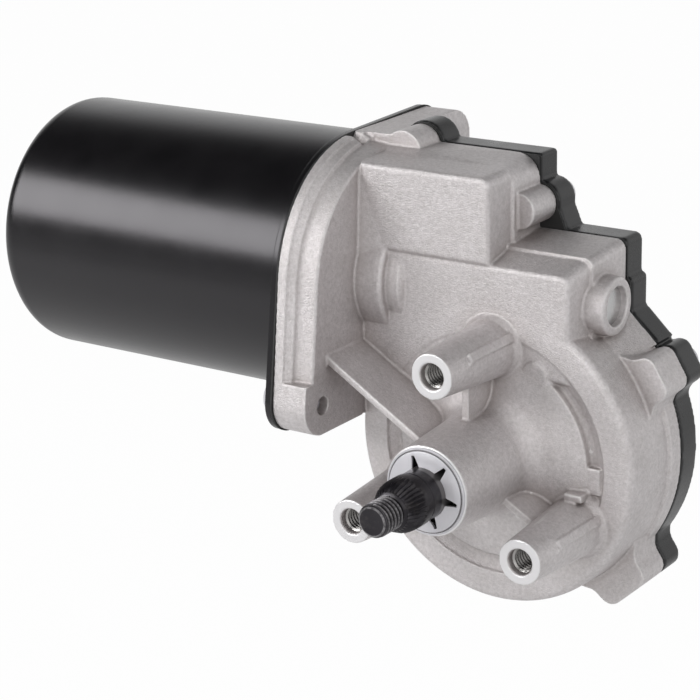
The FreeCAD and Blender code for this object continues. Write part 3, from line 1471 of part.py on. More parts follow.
def wheel_outline(turn):
    """Toothed outline of the worm wheel, turned by an angle; a gap stands at the top."""
    pitch = 360 / WHEEL_TEETH
    tip = flank_angle(wheel_tip_radius)
    mid = flank_angle(wheel_pitch_radius)
    root = flank_angle(wheel_root_radius)
    edges = []
    for i in range(WHEEL_TEETH):
        centre = 90 + turn + (i + 0.5) * pitch
        spots = [point(*on_circle(radius, angle)) for radius, angle in (
            (wheel_root_radius, centre - root), (wheel_pitch_radius, centre - mid),
            (wheel_tip_radius, centre - tip), (wheel_tip_radius, centre + tip),
            (wheel_pitch_radius, centre + mid), (wheel_root_radius, centre + root),
            (wheel_root_radius, centre + pitch - root))]
        edges += [Part.Arc(spots[0], spots[1], spots[2]).toShape(),
                  Part.LineSegment(spots[2], spots[3]).toShape(),
                  Part.Arc(spots[3], spots[4], spots[5]).toShape(),
                  Part.LineSegment(spots[5], spots[6]).toShape()]
    return Part.Wire(edges)


def wheel_twist():
    """Turn of the helical teeth from the wheel's middle to either face, in degrees."""
    return degrees(WHEEL_WIDTH / 2 * tan(radians(lead_angle)) / wheel_pitch_radius)


def worm_wheel():
    """Plastic worm wheel with helical teeth and a ribbed web, moulded round its hub."""
    twist = wheel_twist()
    front = facing_y(wheel_outline(twist), wheel_front)
    back = facing_y(wheel_outline(-twist), wheel_back)
    teeth = Part.makeLoft([front, back], True, True)
    rim_inner = wheel_root_radius - WHEEL_RIM_THICKNESS + 0.5
    web_front = wheel_back - WHEEL_WEB_THICKNESS
    recess = ring_y(HUB_FLANGE_RADIUS + 2.5, rim_inner, wheel_front - 1, web_front)
    ribs = []
    for i in range(WHEEL_RIB_COUNT):
        bar = box((HUB_FLANGE_RADIUS, rim_inner + 1), (wheel_front + 0.8, web_front + 1),
                  (-WHEEL_RIB_THICKNESS / 2, WHEEL_RIB_THICKNESS / 2))
        ribs.append(about_output(bar, 360 * i / WHEEL_RIB_COUNT))
    return teeth.cut([recess.cut(ribs), turned_y(hub_profile(SEAT_FIT)), ring_y(0, SHAFT_RADIUS + 1, 0, 60)])


def contact_disc():
    """Park switch disc on the wheel's back face, with the gap that marks the park place."""
    disc = ring_y(CONTACT_DISC_INNER, CONTACT_DISC_OUTER, wheel_back, wheel_back + CONTACT_DISC_THICKNESS)
    gap = box((CONTACT_DISC_INNER + 5, CONTACT_DISC_OUTER + 1), (wheel_back - 1, wheel_back + 2), (-4, 4))
    return disc.cut(about_output(gap, 200))


# Files, one for each named piece

PIECES = {
    "gear_housing": gear_housing,
    "gear_cover": gear_cover,
    "cover_gasket": cover_gasket,
    "cover_screws": cover_screws,
    "connector_terminals": connector_terminals,
    "park_contacts": park_contacts,
    "motor_can": motor_can,
    "can_gasket": can_gasket,
    "can_screws": can_screws,
    "field_magnets": field_magnets,
    "magnet_clips": magnet_clips,
    "rear_bush": rear_bush,
    "bush_retainer": bush_retainer,
    "bearing_outer_ring": bearing_outer_ring,
    "bearing_retainer": bearing_retainer,
    "tip_bush": tip_bush,
    "thrust_plug": thrust_plug,
    "brush_card": brush_card,
    "brush_holders": brush_holders,
    "brushes": brushes,
    "brush_springs": brush_springs,
    "choke_coils": choke_coils,
    "choke_cores": choke_cores,
    "suppressor": suppressor,
    "motor_leads": motor_leads,
    "shaft_bushes": shaft_bushes,
    "shaft_seal": shaft_seal,
    "thrust_washer": thrust_washer,
    "armature_shaft": armature_shaft,
    "armature_core": armature_core,
    "armature_windings": armature_windings,
    "commutator_hub": commutator_hub,
    "commutator_bars": commutator_bars,
    "bearing_inner_ring": bearing_inner_ring,
    "thrust_ball": thrust_ball,
    "bearing_balls": bearing_balls,
    "bearing_cage": bearing_cage,
    "output_shaft": output_shaft,
    "star_washer": star_washer,
    "wheel_hub": wheel_hub,
    "worm_wheel": worm_wheel,
    "contact_disc": contact_disc,
}

os.makedirs("parts", exist_ok=True)
for name, build in PIECES.items():
    shape = build()
    shape.exportStep("parts/" + name + ".step")
    print(name, len(shape.Solids), round(shape.Volume, 1), shape.isValid())
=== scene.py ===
import json
from math import atan2, cos, pi, radians, sin

import bmesh
import bpy
from mathutils import Matrix, Vector


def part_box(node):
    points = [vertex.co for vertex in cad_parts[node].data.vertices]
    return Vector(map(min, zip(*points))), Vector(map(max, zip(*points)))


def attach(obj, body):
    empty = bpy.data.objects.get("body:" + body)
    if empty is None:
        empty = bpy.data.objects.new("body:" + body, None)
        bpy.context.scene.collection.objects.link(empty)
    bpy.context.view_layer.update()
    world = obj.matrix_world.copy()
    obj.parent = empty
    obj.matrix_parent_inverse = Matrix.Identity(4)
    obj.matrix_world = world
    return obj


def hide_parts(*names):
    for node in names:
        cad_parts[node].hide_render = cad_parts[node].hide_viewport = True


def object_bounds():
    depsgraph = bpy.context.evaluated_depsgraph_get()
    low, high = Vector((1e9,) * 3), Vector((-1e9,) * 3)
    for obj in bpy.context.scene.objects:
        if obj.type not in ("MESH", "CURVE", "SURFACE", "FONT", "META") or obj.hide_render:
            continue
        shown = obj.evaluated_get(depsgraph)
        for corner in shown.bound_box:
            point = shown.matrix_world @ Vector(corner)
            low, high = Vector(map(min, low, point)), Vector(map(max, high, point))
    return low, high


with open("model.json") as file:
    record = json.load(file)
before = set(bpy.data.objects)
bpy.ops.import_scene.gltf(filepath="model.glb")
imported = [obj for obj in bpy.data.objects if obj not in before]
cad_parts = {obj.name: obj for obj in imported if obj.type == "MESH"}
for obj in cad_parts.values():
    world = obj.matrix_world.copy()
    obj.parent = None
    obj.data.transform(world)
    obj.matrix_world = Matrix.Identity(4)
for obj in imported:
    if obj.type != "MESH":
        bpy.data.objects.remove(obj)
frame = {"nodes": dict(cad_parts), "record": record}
cad_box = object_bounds()

# The looks of a wiper motor. Lengths are in metres and places in the CAD frame: the output
# shaft points along -Y, the motor lies along X, and +Z is up.

MM = 0.001

# Turned pieces and threads lie along the output shaft, and their profiles are drawn above its axis
ALONG = Vector((0, 1, 0))
ASIDE = Vector((0, 0, 1))
TURNED_STEPS = 120

# How near to a plane a vertex counts as lying on it
ON_PLANE = 0.05 * MM

# Camera, fitted to the photograph
CAMERA_PLACE = Vector((0.2611049, -0.3975939, 0.1857446))
CAMERA_AZIMUTH = 35.4453
CAMERA_ELEVATION = 17.8034
CAMERA_ROLL = -1.3727
CAMERA_LENS = 116.06
SENSOR_WIDTH = 36.0

# Light from around the object, by region of the room
OVERHEAD_LIGHT = 0.03
FLOOR_LEFT_LIGHT = 0.7
FLOOR_RIGHT_LIGHT = 0.3
BACK_LEFT_LIGHT = 1.05
BACK_RIGHT_LIGHT = 0.65
SIDE_RIGHT_LIGHT = 1.25

# Lamps: name, direction from the object, distance, width and height, and strength
LAMP_AIM = Vector((-0.03, 0.03, 0.02))
LAMPS = (
    ("key", (-0.606, -0.693, 0.386), 1.3, (1.0, 0.55), 6.5),
    ("fill", (0.85, -0.25, 0.45), 1.4, (0.8, 0.8), 1.3),
    ("top", (0.1, -0.3, 0.95), 1.4, (0.8, 0.8), 1.7),
    ("front", (0.2, -0.95, 0.25), 1.4, (0.8, 0.8), 0.5),
)

# Floor, and the share of white that it and the backdrop show in metal and glass
FLOOR_DROP = 0.25
FLOOR_REACH = 3.0
FLOOR_COLOUR = (0.8, 0.8, 0.8)
FLOOR_SHADOW = 0.02
MIRRORED_FLOOR = 0.55
MIRRORED_BACKDROP = 0.75

# Casting and moulding: size of the skin's voxels, rounds of softening, and triangles kept
HOUSING_SKIN = 0.30 * MM
HOUSING_SOFTEN = 2
HOUSING_TRIANGLES = 192000
COVER_SKIN = 0.38 * MM
COVER_SOFTEN = 4
COVER_TRIANGLES = 110000

# Step on top of the upper box
BOX_STEP_PLANE = 35.0 * MM
BOX_FRONT_TOP = 66.6 * MM

# Mounting bosses
BOSS_CIRCLE_RADIUS = 26.3 * MM
BOSS_ANGLES = (90, 210, 330)
BOSS_BORE_RADIUS = 2.5 * MM
BOSS_BORE_DEPTH = 17.0 * MM
BOSS_THREAD_RADIUS = 3.02 * MM
BOSS_THREAD_PITCH = 1.0 * MM
BOSS_THREAD_TURNS = 14
BOSS_THREAD_STEPS = 36
BOSS_THREAD_START = 1.7 * MM
BOSS_MOUTH_RADIUS = 3.4 * MM

# Shaft boss, how far a cutter has cleaned the bosses, and the flange screws' ends
SHAFT_FACE = -2.6 * MM
SHAFT_BOSS_RADIUS = 10.75 * MM
CUT_REACH = 0.2 * MM
EAR_SCREW_RECESS = 1.4 * MM

# Drive spindle
SPINDLE_TIP = -24.3 * MM
SPINDLE_TIP_RADIUS = 3.2 * MM
STUD_THREAD_RADIUS = 3.98 * MM
STUD_CORE_RADIUS = 3.34 * MM
STUD_THREAD_PITCH = 1.25 * MM
STUD_THREAD_TURNS = 5
STUD_THREAD_STEPS = 60
DRIVE_START = -17.0 * MM
DRIVE_END = -8.6 * MM
DRIVE_RADIUS = 6.22 * MM
DRIVE_NOSE_RADIUS = 4.5 * MM
DRIVE_TOOTH_DEPTH = 0.45 * MM
DRIVE_TEETH = 36
SPINDLE_RADIUS = 6.0 * MM
# Where the painted highlight on the collar begins
COLLAR_HIGHLIGHT_START = -5.6 * MM

# Star washer, pushed on the spindle and seated on the shaft boss
WASHER_SEAT = -2.62 * MM
WASHER_FACE = -3.4 * MM
WASHER_RADIUS = 9.65 * MM
WASHER_RIM_RADIUS = 10.35 * MM
WASHER_THICKNESS = 0.5 * MM
WASHER_DISH = 0.45 * MM
WASHER_SLOTS = 6
WASHER_SLOT_TURN = 50
WASHER_SLOT_REACH = 8.7 * MM
WASHER_SLOT_TIP = 0.7 * MM
WASHER_SLOT_ROOT = 2.5 * MM
WASHER_CUTTER_DEPTH = 8 * MM


# Meshes

def mesh_object(name, bm):
    """A new object whose place is in its mesh."""
    mesh = bpy.data.meshes.new(name)
    bm.to_mesh(mesh)
    bm.free()
    piece = bpy.data.objects.new(name, mesh)
    bpy.context.scene.collection.objects.link(piece)
    return piece


def copy_of_node(node_name):
    """A merged copy of a CAD node's mesh."""
    bm = bmesh.new()
    bm.from_mesh(frame["nodes"][node_name].data)
    bmesh.ops.remove_doubles(bm, verts=bm.verts, dist=0.001 * MM)
    return bm


def settle(piece):
    """Apply the modifiers of a piece."""
    graph = bpy.context.evaluated_depsgraph_get()
    mesh = bpy.data.meshes.new_from_object(piece.evaluated_get(graph))
    piece.modifiers.clear()
    piece.data = mesh


def shade_smooth(piece, crease=180.0):
    """Smooth shading, with edges sharper than the crease angle kept sharp."""
    piece.data.polygons.foreach_set("use_smooth", [True] * len(piece.data.polygons))
    if crease < 180.0:
        piece.data.set_sharp_from_angle(angle=radians(crease))
    piece.data.update()


def reskin(piece, skin, soften, triangles):
    """Cast or moulded skin: fine voxels, softened at the edges and thinned on the flats."""
    remesh = piece.modifiers.new("skin", "REMESH")
    remesh.mode = "VOXEL"
    remesh.voxel_size = skin
    relax = piece.modifiers.new("soften", "SMOOTH")
    relax.factor = 0.5
    relax.iterations = soften
    settle(piece)
    thin = piece.modifiers.new("thin", "DECIMATE")
    thin.ratio = min(1.0, triangles / (2 * len(piece.data.polygons)))
    settle(piece)
    shade_smooth(piece)


def turned(bm, profile):
    """Spin a profile of (along, radius) points about the output shaft into a closed shell."""
    spots = [bm.verts.new(ALONG * a + ASIDE * r) for a, r in profile]
    edges = [bm.edges.new(pair) for pair in zip(spots, spots[1:])]
    bmesh.ops.spin(bm, geom=spots + edges, cent=(0, 0, 0), axis=ALONG, angle=2 * pi,
                   steps=TURNED_STEPS, use_merge=True)
    bmesh.ops.remove_doubles(bm, verts=bm.verts, dist=0.0002 * MM)


def ridge(start, foot, crest, half, land):
    """Section of a thread's ridge, (along, radius) points, half its width at foot and crest."""
    return [(start - half, foot), (start - land, crest), (start + land, crest), (start + half, foot)]


def thread(bm, section, pitch, turns, turn_steps, centre=(0, 0, 0)):
    """Wind the section of a thread's ridge along its helix, and close both ends."""
    steps = turn_steps * turns
    spots = [bm.verts.new(Vector(centre) + ALONG * a + ASIDE * r) for a, r in section]
    edges = [bm.edges.new((spots[i - 1], spots[i])) for i in range(len(spots))]
    wound = bmesh.ops.spin(bm, geom=spots + edges, cent=centre, axis=ALONG, angle=2 * pi * turns,
                           steps=steps, dvec=ALONG * pitch * turns / steps)
    last = [item for item in wound["geom_last"] if isinstance(item, bmesh.types.BMEdge)]
    bmesh.ops.edgeloop_fill(bm, edges=edges)
    bmesh.ops.edgeloop_fill(bm, edges=last)


def outward(bm):
    """Turn the faces of closed shells outwards."""
    bmesh.ops.recalc_face_normals(bm, faces=bm.faces)
    return bm


# Node groups

def new_group(name, inputs, outputs):
    """A shader node group with named inputs (name, default) and outputs (name, socket type)."""
    tree = bpy.data.node_groups.new(name, "ShaderNodeTree")
    for label, default in inputs:
        kind = "NodeSocketVector" if hasattr(default, "__len__") else "NodeSocketFloat"
        socket = tree.interface.new_socket(name=label, in_out="INPUT", socket_type=kind)
        socket.default_value = default
    for label, kind in outputs:
        tree.interface.new_socket(name=label, in_out="OUTPUT", socket_type=kind)
    return tree, tree.nodes.new("NodeGroupInput"), tree.nodes.new("NodeGroupOutput")


def node(tree, kind, **settings):
    """A new shader node with its settings."""
    made = tree.nodes.new("ShaderNode" + kind)
    for name, value in settings.items():
        setattr(made, name, value)
    return made


def feed(tree, socket, value):
    """Link a socket or set a plain number."""
    if isinstance(value, bpy.types.NodeSocket):
        tree.links.new(value, socket)
    else:
        socket.default_value = value


def math_node(tree, operation, first, second=0.0, clamp=False):
    """Sum, difference and the like of two numbers or sockets."""
    made = node(tree, "Math", operation=operation, use_clamp=clamp)
    feed(tree, made.inputs[0], first)
    feed(tree, made.inputs[1], second)
    return made.outputs[0]


def product(tree, result, *factors):
    """All the factors, numbers or sockets, multiplied in turn."""
    for factor in factors:
        result = math_node(tree, "MULTIPLY", result, factor)
    return result


def noise(tree, place, scale, detail, roughness):
    """Noise over a place."""
    made = node(tree, "TexNoise")
    tree.links.new(place, made.inputs["Vector"])
    feed(tree, made.inputs["Scale"], scale)
    made.inputs["Detail"].default_value = detail
    made.inputs["Roughness"].default_value = roughness
    return made.outputs["Fac"]


def mask_range(tree, value, low, high, to_low=0.0, to_high=1.0, smooth=False):
    """A value that goes from low to high, made to go from to_low to to_high and no further."""
    made = node(tree, "MapRange", clamp=True)
    if smooth:
        made.interpolation_type = "SMOOTHSTEP"
    tree.links.new(value, made.inputs["Value"])
    ends = {"From Min": low, "From Max": high, "To Min": to_low, "To Max": to_high}
    for name, number in ends.items():
        feed(tree, made.inputs[name], number)
    return made.outputs["Result"]


def near_plane(tree, coordinate, plane, reach):
    """1 near a plane, falling to 0 over the last part of the reach."""
    away = math_node(tree, "ABSOLUTE", math_node(tree, "SUBTRACT", coordinate, plane))
    return mask_range(tree, away, reach, 0.6 * reach)


def grain_group():
    """Shot-blasted or moulded grain: a height for bump and a slow variation of tone."""
    tree, take, give = new_group("grain", [("Grain per metre", 3000.0)],
                                 [("Height", "NodeSocketFloat"), ("Tone", "NodeSocketFloat")])
    place = node(tree, "TexCoord").outputs["Object"]
    fine = noise(tree, place, take.outputs["Grain per metre"], 4.0, 0.65)
    slow = noise(tree, place, 90.0, 4.0, 0.6)
    tree.links.new(fine, give.inputs["Height"])
    tree.links.new(mask_range(tree, slow, 0.3, 0.7), give.inputs["Tone"])
    return tree


def edge_wear_and_highlight_group():
    """Mask of outer edges and corners, where wear and painted highlight brighten them."""
    tree, take, give = new_group("edges", [("Low", 0.51), ("High", 0.56)], [("Mask", "NodeSocketFloat")])
    sharpness = node(tree, "NewGeometry").outputs["Pointiness"]
    mask = mask_range(tree, sharpness, take.outputs["Low"], take.outputs["High"])
    tree.links.new(mask, give.inputs["Mask"])
    return tree


def hollow_shade_group():
    """Mask of corners and hollows, where painted shade darkens them."""
    tree, take, give = new_group("hollow_shade", [("Reach", 0.006)], [("Mask", "NodeSocketFloat")])
    shade = node(tree, "AmbientOcclusion", samples=6, only_local=True)
    tree.links.new(take.outputs["Reach"], shade.inputs["Distance"])
    tree.links.new(mask_range(tree, shade.outputs["AO"], 0.95, 0.35), give.inputs["Mask"])
    return tree


def soft_edge_group():
    """Normals rounded over the edges of pressed and turned pieces."""
    tree, take, give = new_group("soft_edges", [("Radius", 0.0003)], [("Normal", "NodeSocketVector")])
    round_over = node(tree, "Bevel", samples=4)
    tree.links.new(take.outputs["Radius"], round_over.inputs["Radius"])
    tree.links.new(round_over.outputs["Normal"], give.inputs["Normal"])
    return tree


GRAIN = grain_group()
EDGE_WEAR_AND_HIGHLIGHT = edge_wear_and_highlight_group()
HOLLOW_SHADE = hollow_shade_group()
SOFT_EDGES = soft_edge_group()


# Materials

def new_material(name):
    """A material, its node tree and its shader."""
    material = bpy.data.materials.new(name)
    material.use_nodes = True
    tree = material.node_tree
    return material, tree, tree.nodes["Principled BSDF"]


def use_group(tree, group, **values):
    """Place a node group with its own values."""
    made = tree.nodes.new("ShaderNodeGroup")
    made.node_tree = group
    for name, value in values.items():
        made.inputs[name.replace("_", " ")].default_value = value
    return made


def blend_colours(tree, mask, low, high):
    """Mix two colours, plain or linked, by a mask."""
    mix = node(tree, "Mix", data_type="RGBA")
    feed(tree, mix.inputs["Factor"], mask)
    for name, colour in (("A", low), ("B", high)):
        if isinstance(colour, bpy.types.NodeSocket):
            tree.links.new(colour, mix.inputs[name])
        else:
            mix.inputs[name].default_value = (*colour, 1)
    return mix.outputs["Result"]


def bump(tree, shader, height, distance, edge_radius=0.0):
    """Bump a shader's normals by a height, over edges that are rounded where a radius is given."""
    made = node(tree, "Bump")
    made.inputs["Distance"].default_value = distance
    tree.links.new(height, made.inputs["Height"])
    if edge_radius:
        rounded = use_group(tree, SOFT_EDGES, Radius=edge_radius)
        tree.links.new(rounded.outputs["Normal"], made.inputs["Normal"])
    tree.links.new(made.outputs["Normal"], shader.inputs["Normal"])


def vary_roughness(tree, shader, tone, low, high):
    """Roughness that follows the slow change of tone."""
    tree.links.new(mask_range(tree, tone, 0, 1, low, high), shader.inputs["Roughness"])


def plain_finish(name, low, high, rough, metallic, grain=2500.0):
    """A finish with its grain, a slow change of tone between two colours and of roughness."""
    material, tree, shader = new_material(name)
    group = use_group(tree, GRAIN, Grain_per_metre=grain)
    tree.links.new(blend_colours(tree, group.outputs["Tone"], low, high), shader.inputs["Base Color"])
    vary_roughness(tree, shader, group.outputs["Tone"], *rough)
    shader.inputs["Metallic"].default_value = metallic
    bump(tree, shader, group.outputs["Height"], 0.03 * MM, 0.2 * MM)
    return material


def shaft_distance(tree, split):
    """Distance from the output shaft's axis."""
    squares = [product(tree, split.outputs[name], split.outputs[name]) for name in "XZ"]
    return math_node(tree, "SQRT", math_node(tree, "ADD", *squares))


def machined_mask(tree, place):
    """The faces that a cutter has cleaned: those of the mounting bosses and the shaft boss."""
    split = node(tree, "SeparateXYZ")
    tree.links.new(place, split.inputs[0])
    away = shaft_distance(tree, split)
    outside = mask_range(tree, away, SHAFT_BOSS_RADIUS + 3 * MM, SHAFT_BOSS_RADIUS + 4 * MM)
    bosses = product(tree, near_plane(tree, split.outputs["Y"], 0.0, CUT_REACH), outside)
    shaft = near_plane(tree, split.outputs["Y"], SHAFT_FACE, CUT_REACH)
    return math_node(tree, "MAXIMUM", bosses, shaft)


def die_cast_finish():
    """Shot-blasted casting: speckled, with painted shade in its hollows, wear and painted highlight at its
    edges, cut at its bosses.
    """
    material, tree, shader = new_material("shot_blasted_casting")
    group = use_group(tree, GRAIN, Grain_per_metre=2600.0)
    place = node(tree, "TexCoord").outputs["Object"]
    tone = blend_colours(tree, group.outputs["Tone"], (0.68, 0.65, 0.65), (0.76, 0.728, 0.733))
    speckle = noise(tree, place, 1100.0, 3.0, 0.75)
    tone = blend_colours(tree, mask_range(tree, speckle, 0.3, 0.7, 0.4, 0.0), tone, (0.27, 0.245, 0.24))
    # Painted shade in the hollows: a wide soft band, then a narrow dark line in the corners
    for reach, share, dark in ((7 * MM, 0.45, (0.32, 0.27, 0.25)), (1.8 * MM, 0.6, (0.15, 0.12, 0.11))):
        hollow_shade_mask = use_group(tree, HOLLOW_SHADE, Reach=reach).outputs["Mask"]
        tone = blend_colours(tree, product(tree, hollow_shade_mask, share), tone, dark)
    # Outer edges lighter: partly wear, partly painted highlight
    edge_wear_and_highlight = product(tree, use_group(tree, EDGE_WEAR_AND_HIGHLIGHT).outputs["Mask"], 0.5)
    tone = blend_colours(tree, edge_wear_and_highlight, tone, (0.86, 0.85, 0.84))
    cut = machined_mask(tree, place)
    tone = blend_colours(tree, cut, tone, (0.82, 0.81, 0.82))
    tree.links.new(tone, shader.inputs["Base Color"])
    rough = mask_range(tree, speckle, 0.2, 0.8, 0.42, 0.57)
    rough = math_node(tree, "SUBTRACT", rough, product(tree, cut, 0.08))
    tree.links.new(rough, shader.inputs["Roughness"])
    shader.inputs["Metallic"].default_value = 0.78
    height = product(tree, group.outputs["Height"], mask_range(tree, cut, 0, 1, 1.0, 0.15))
    bump(tree, shader, height, 0.2 * MM)
    return material


def can_finish():
    """Satin black paint on the drawn can, a little wavy."""
    material, tree, shader = new_material("satin_black_paint")
    group = use_group(tree, GRAIN, Grain_per_metre=700.0)
    tone = blend_colours(tree, group.outputs["Tone"], (0.0045, 0.0043, 0.005), (0.007, 0.0066, 0.0075))
    tree.links.new(tone, shader.inputs["Base Color"])
    vary_roughness(tree, shader, group.outputs["Tone"], 0.23, 0.27)
    shader.inputs["Specular Tint"].default_value = (0.985, 0.955, 1.0, 1)
    bump(tree, shader, group.outputs["Height"], 0.012 * MM, 0.5 * MM)
    return material


def phosphate_finish():
    """Oiled black phosphate, with painted highlight on thread and tooth crests and the tip's rim, painted
    shade in the thread's roots, and a painted highlight on the collar beside the washer.
    """
    material, tree, shader = new_material("black_phosphate")
    group = use_group(tree, GRAIN, Grain_per_metre=1800.0)
    place = node(tree, "TexCoord").outputs["Object"]
    split = node(tree, "SeparateXYZ")
    tree.links.new(place, split.inputs[0])
    along = split.outputs["Y"]
    away = shaft_distance(tree, split)
    tone = blend_colours(tree, group.outputs["Tone"], (0.016, 0.014, 0.018), (0.036, 0.033, 0.038))
    smear = mask_range(tree, noise(tree, place, 350.0, 3.0, 0.6), 0.5, 0.75)
    tone = blend_colours(tree, product(tree, smear, 0.35), tone, (0.11, 0.10, 0.095))
    stud = mask_range(tree, along, DRIVE_START - 0.1 * MM, DRIVE_START - 0.3 * MM)
    thread_top = mask_range(tree, away, STUD_THREAD_RADIUS - 0.3 * MM, STUD_THREAD_RADIUS - 0.02 * MM)
    tip = mask_range(tree, along, SPINDLE_TIP + 0.9 * MM, SPINDLE_TIP + 0.6 * MM)
    tip_rim_highlight = product(tree, tip, near_plane(tree, away, SPINDLE_TIP_RADIUS + 0.1 * MM, 0.25 * MM))
    tooth_highlight = use_group(tree, EDGE_WEAR_AND_HIGHLIGHT, Low=0.55, High=0.68).outputs["Mask"]
    tooth_highlight = product(tree, tooth_highlight, math_node(tree, "SUBTRACT", 1.0, stud))
    # Painted highlight on the thread's crests, the tip's rim and the tooth crests, broken up in patches
    crest_highlight = math_node(tree, "MAXIMUM", product(tree, thread_top, stud), tip_rim_highlight)
    crest_highlight = math_node(tree, "MAXIMUM", crest_highlight, product(tree, tooth_highlight, 0.6))
    patchy = mask_range(tree, noise(tree, place, 1500.0, 2.0, 0.6), 0.35, 0.65, 0.2, 0.75)
    tone = blend_colours(tree, product(tree, crest_highlight, patchy), tone, (0.34, 0.33, 0.34))
    # Painted shade in the roots of the thread
    deep = mask_range(tree, away, STUD_THREAD_RADIUS - 0.2 * MM, STUD_THREAD_RADIUS - 0.45 * MM)
    painted_root_shade = math_node(tree, "SUBTRACT", product(tree, stud, deep), tip, True)
    tone = blend_colours(tree, product(tree, painted_root_shade, 0.85), tone, (0.004, 0.004, 0.004))
    # Painted highlight on the collar beside the washer
    collar_highlight = mask_range(tree, along, COLLAR_HIGHLIGHT_START, COLLAR_HIGHLIGHT_START + 0.5 * MM)
    tone = blend_colours(tree, product(tree, collar_highlight, 0.6), tone, (0.22, 0.21, 0.21))
    tree.links.new(tone, shader.inputs["Base Color"])
    vary_roughness(tree, shader, group.outputs["Tone"], 0.24, 0.4)
    shader.inputs["Metallic"].default_value = 0.6
    bump(tree, shader, group.outputs["Height"], 0.04 * MM)
    return material


def shaded_hollows_finish(name, low, high, rough, metallic, reach, dark):
    """A metal finish with painted shade in its corners and hollows."""
    material, tree, shader = new_material(name)
    group = use_group(tree, GRAIN, Grain_per_metre=2200.0)
    tone = blend_colours(tree, group.outputs["Tone"], low, high)
    hollow_shade_mask = use_group(tree, HOLLOW_SHADE, Reach=reach).outputs["Mask"]
    tree.links.new(blend_colours(tree, hollow_shade_mask, tone, dark), shader.inputs["Base Color"])
    vary_roughness(tree, shader, group.outputs["Tone"], *rough)
    shader.inputs["Metallic"].default_value = metallic
    bump(tree, shader, group.outputs["Height"], 0.03 * MM, 0.15 * MM)
    return material


def finishes():
    """One material for each slot of the record: its two tones, roughness from and to, and metallic."""
    return {
        "die_cast": die_cast_finish(),
        "can_paint": can_finish(),
        "black_plastic": plain_finish(
            "black_plastic", (0.005, 0.005, 0.0055), (0.010, 0.010, 0.011), (0.24, 0.34), 0.0, 3500.0),
        "gasket": plain_finish(
            "pressed_rubber", (0.012, 0.012, 0.012), (0.02, 0.02, 0.02), (0.55, 0.7), 0.0),
        # Zinc plate, with painted shade in its hollows
        "zinc_steel": shaded_hollows_finish(
            "zinc_plate", (0.62, 0.61, 0.645), (0.71, 0.70, 0.73), (0.38, 0.5), 0.45,
            0.8 * MM, (0.12, 0.11, 0.11)),
        "dark_steel": phosphate_finish(),
        "bright_steel": plain_finish(
            "ground_steel", (0.6, 0.6, 0.6), (0.68, 0.68, 0.68), (0.18, 0.3), 1.0),
        "spring_steel": plain_finish(
            "spring_steel", (0.62, 0.62, 0.62), (0.75, 0.75, 0.74), (0.2, 0.32), 1.0),
        "lamination": plain_finish(
            "core_sheets", (0.25, 0.25, 0.26), (0.35, 0.35, 0.36), (0.4, 0.55), 0.9),
        "ferrite": plain_finish(
            "ferrite", (0.03, 0.03, 0.032), (0.05, 0.05, 0.052), (0.5, 0.65), 0.0),
        "bronze": plain_finish(
            "sintered_bronze", (0.45, 0.3, 0.14), (0.55, 0.38, 0.2), (0.4, 0.55), 1.0),
        "copper": plain_finish(
            "enamelled_copper", (0.55, 0.2, 0.09), (0.65, 0.27, 0.13), (0.25, 0.4), 1.0),
        "brass_sheet": plain_finish(
            "brass_sheet", (0.66, 0.48, 0.2), (0.75, 0.58, 0.28), (0.25, 0.38), 1.0),
        "tinned": plain_finish(
            "tin_plate", (0.66, 0.66, 0.64), (0.75, 0.75, 0.73), (0.22, 0.34), 1.0),
        "carbon": plain_finish(
            "pressed_carbon", (0.02, 0.02, 0.02), (0.04, 0.04, 0.04), (0.5, 0.65), 0.0),
        "card": plain_finish(
            "phenolic_card", (0.13, 0.06, 0.025), (0.18, 0.09, 0.04), (0.4, 0.55), 0.0),
        "cage_nylon": plain_finish(
            "cage_nylon", (0.6, 0.52, 0.36), (0.68, 0.6, 0.44), (0.4, 0.5), 0.0),
        "wheel_nylon": plain_finish(
            "wheel_acetal", (0.68, 0.66, 0.58), (0.76, 0.74, 0.67), (0.35, 0.45), 0.0),
        "suppressor_case": plain_finish(
            "dipped_case", (0.3, 0.06, 0.03), (0.4, 0.09, 0.045), (0.2, 0.3), 0.0),
    }


FINISHES = finishes()
# Tapped threads: the casting's metal painted darker as shade inside the bores, with more painted shade in
# their hollows
SHADED_TAPPED_FINISH = shaded_hollows_finish("shaded_tapped_thread", (0.30, 0.29, 0.28), (0.42, 0.41, 0.40), (0.2, 0.32), 1.0,
                                2.5 * MM, (0.03, 0.028, 0.026))


def coat(piece, material):
    """Give a piece one material."""
    piece.data.materials.clear()
    piece.data.materials.append(material)


def finish_as(piece, slot):
    """Give a piece the material of a record slot."""
    coat(piece, FINISHES[slot])


def dress_nodes():
    """Give every CAD node the material of its slot."""
    for part in frame["record"]["subparts"]:
        coat(frame["nodes"][part["node"]], FINISHES[part["material_slot"]])


# Gear housing and cover

def boss_axes():
    """Points on the axes of the three mounting bosses."""
    return [Vector((BOSS_CIRCLE_RADIUS * cos(radians(a)), 0, BOSS_CIRCLE_RADIUS * sin(radians(a))))
            for a in BOSS_ANGLES]


def widen_bores(bm):
    """Open the tapping bores of the bosses to the root of their thread."""
    wider = BOSS_THREAD_RADIUS - BOSS_BORE_RADIUS
    for axis in boss_axes():
        for spot in bm.verts:
            away = Vector((spot.co.x - axis.x, 0, spot.co.z - axis.z))
            if 0.1 * MM < away.length < BOSS_THREAD_RADIUS and spot.co.y < BOSS_BORE_DEPTH + MM:
                mouth = spot.co.y < ON_PLANE
                spot.co += away.normalized() * (BOSS_MOUTH_RADIUS - away.length if mouth else wider)


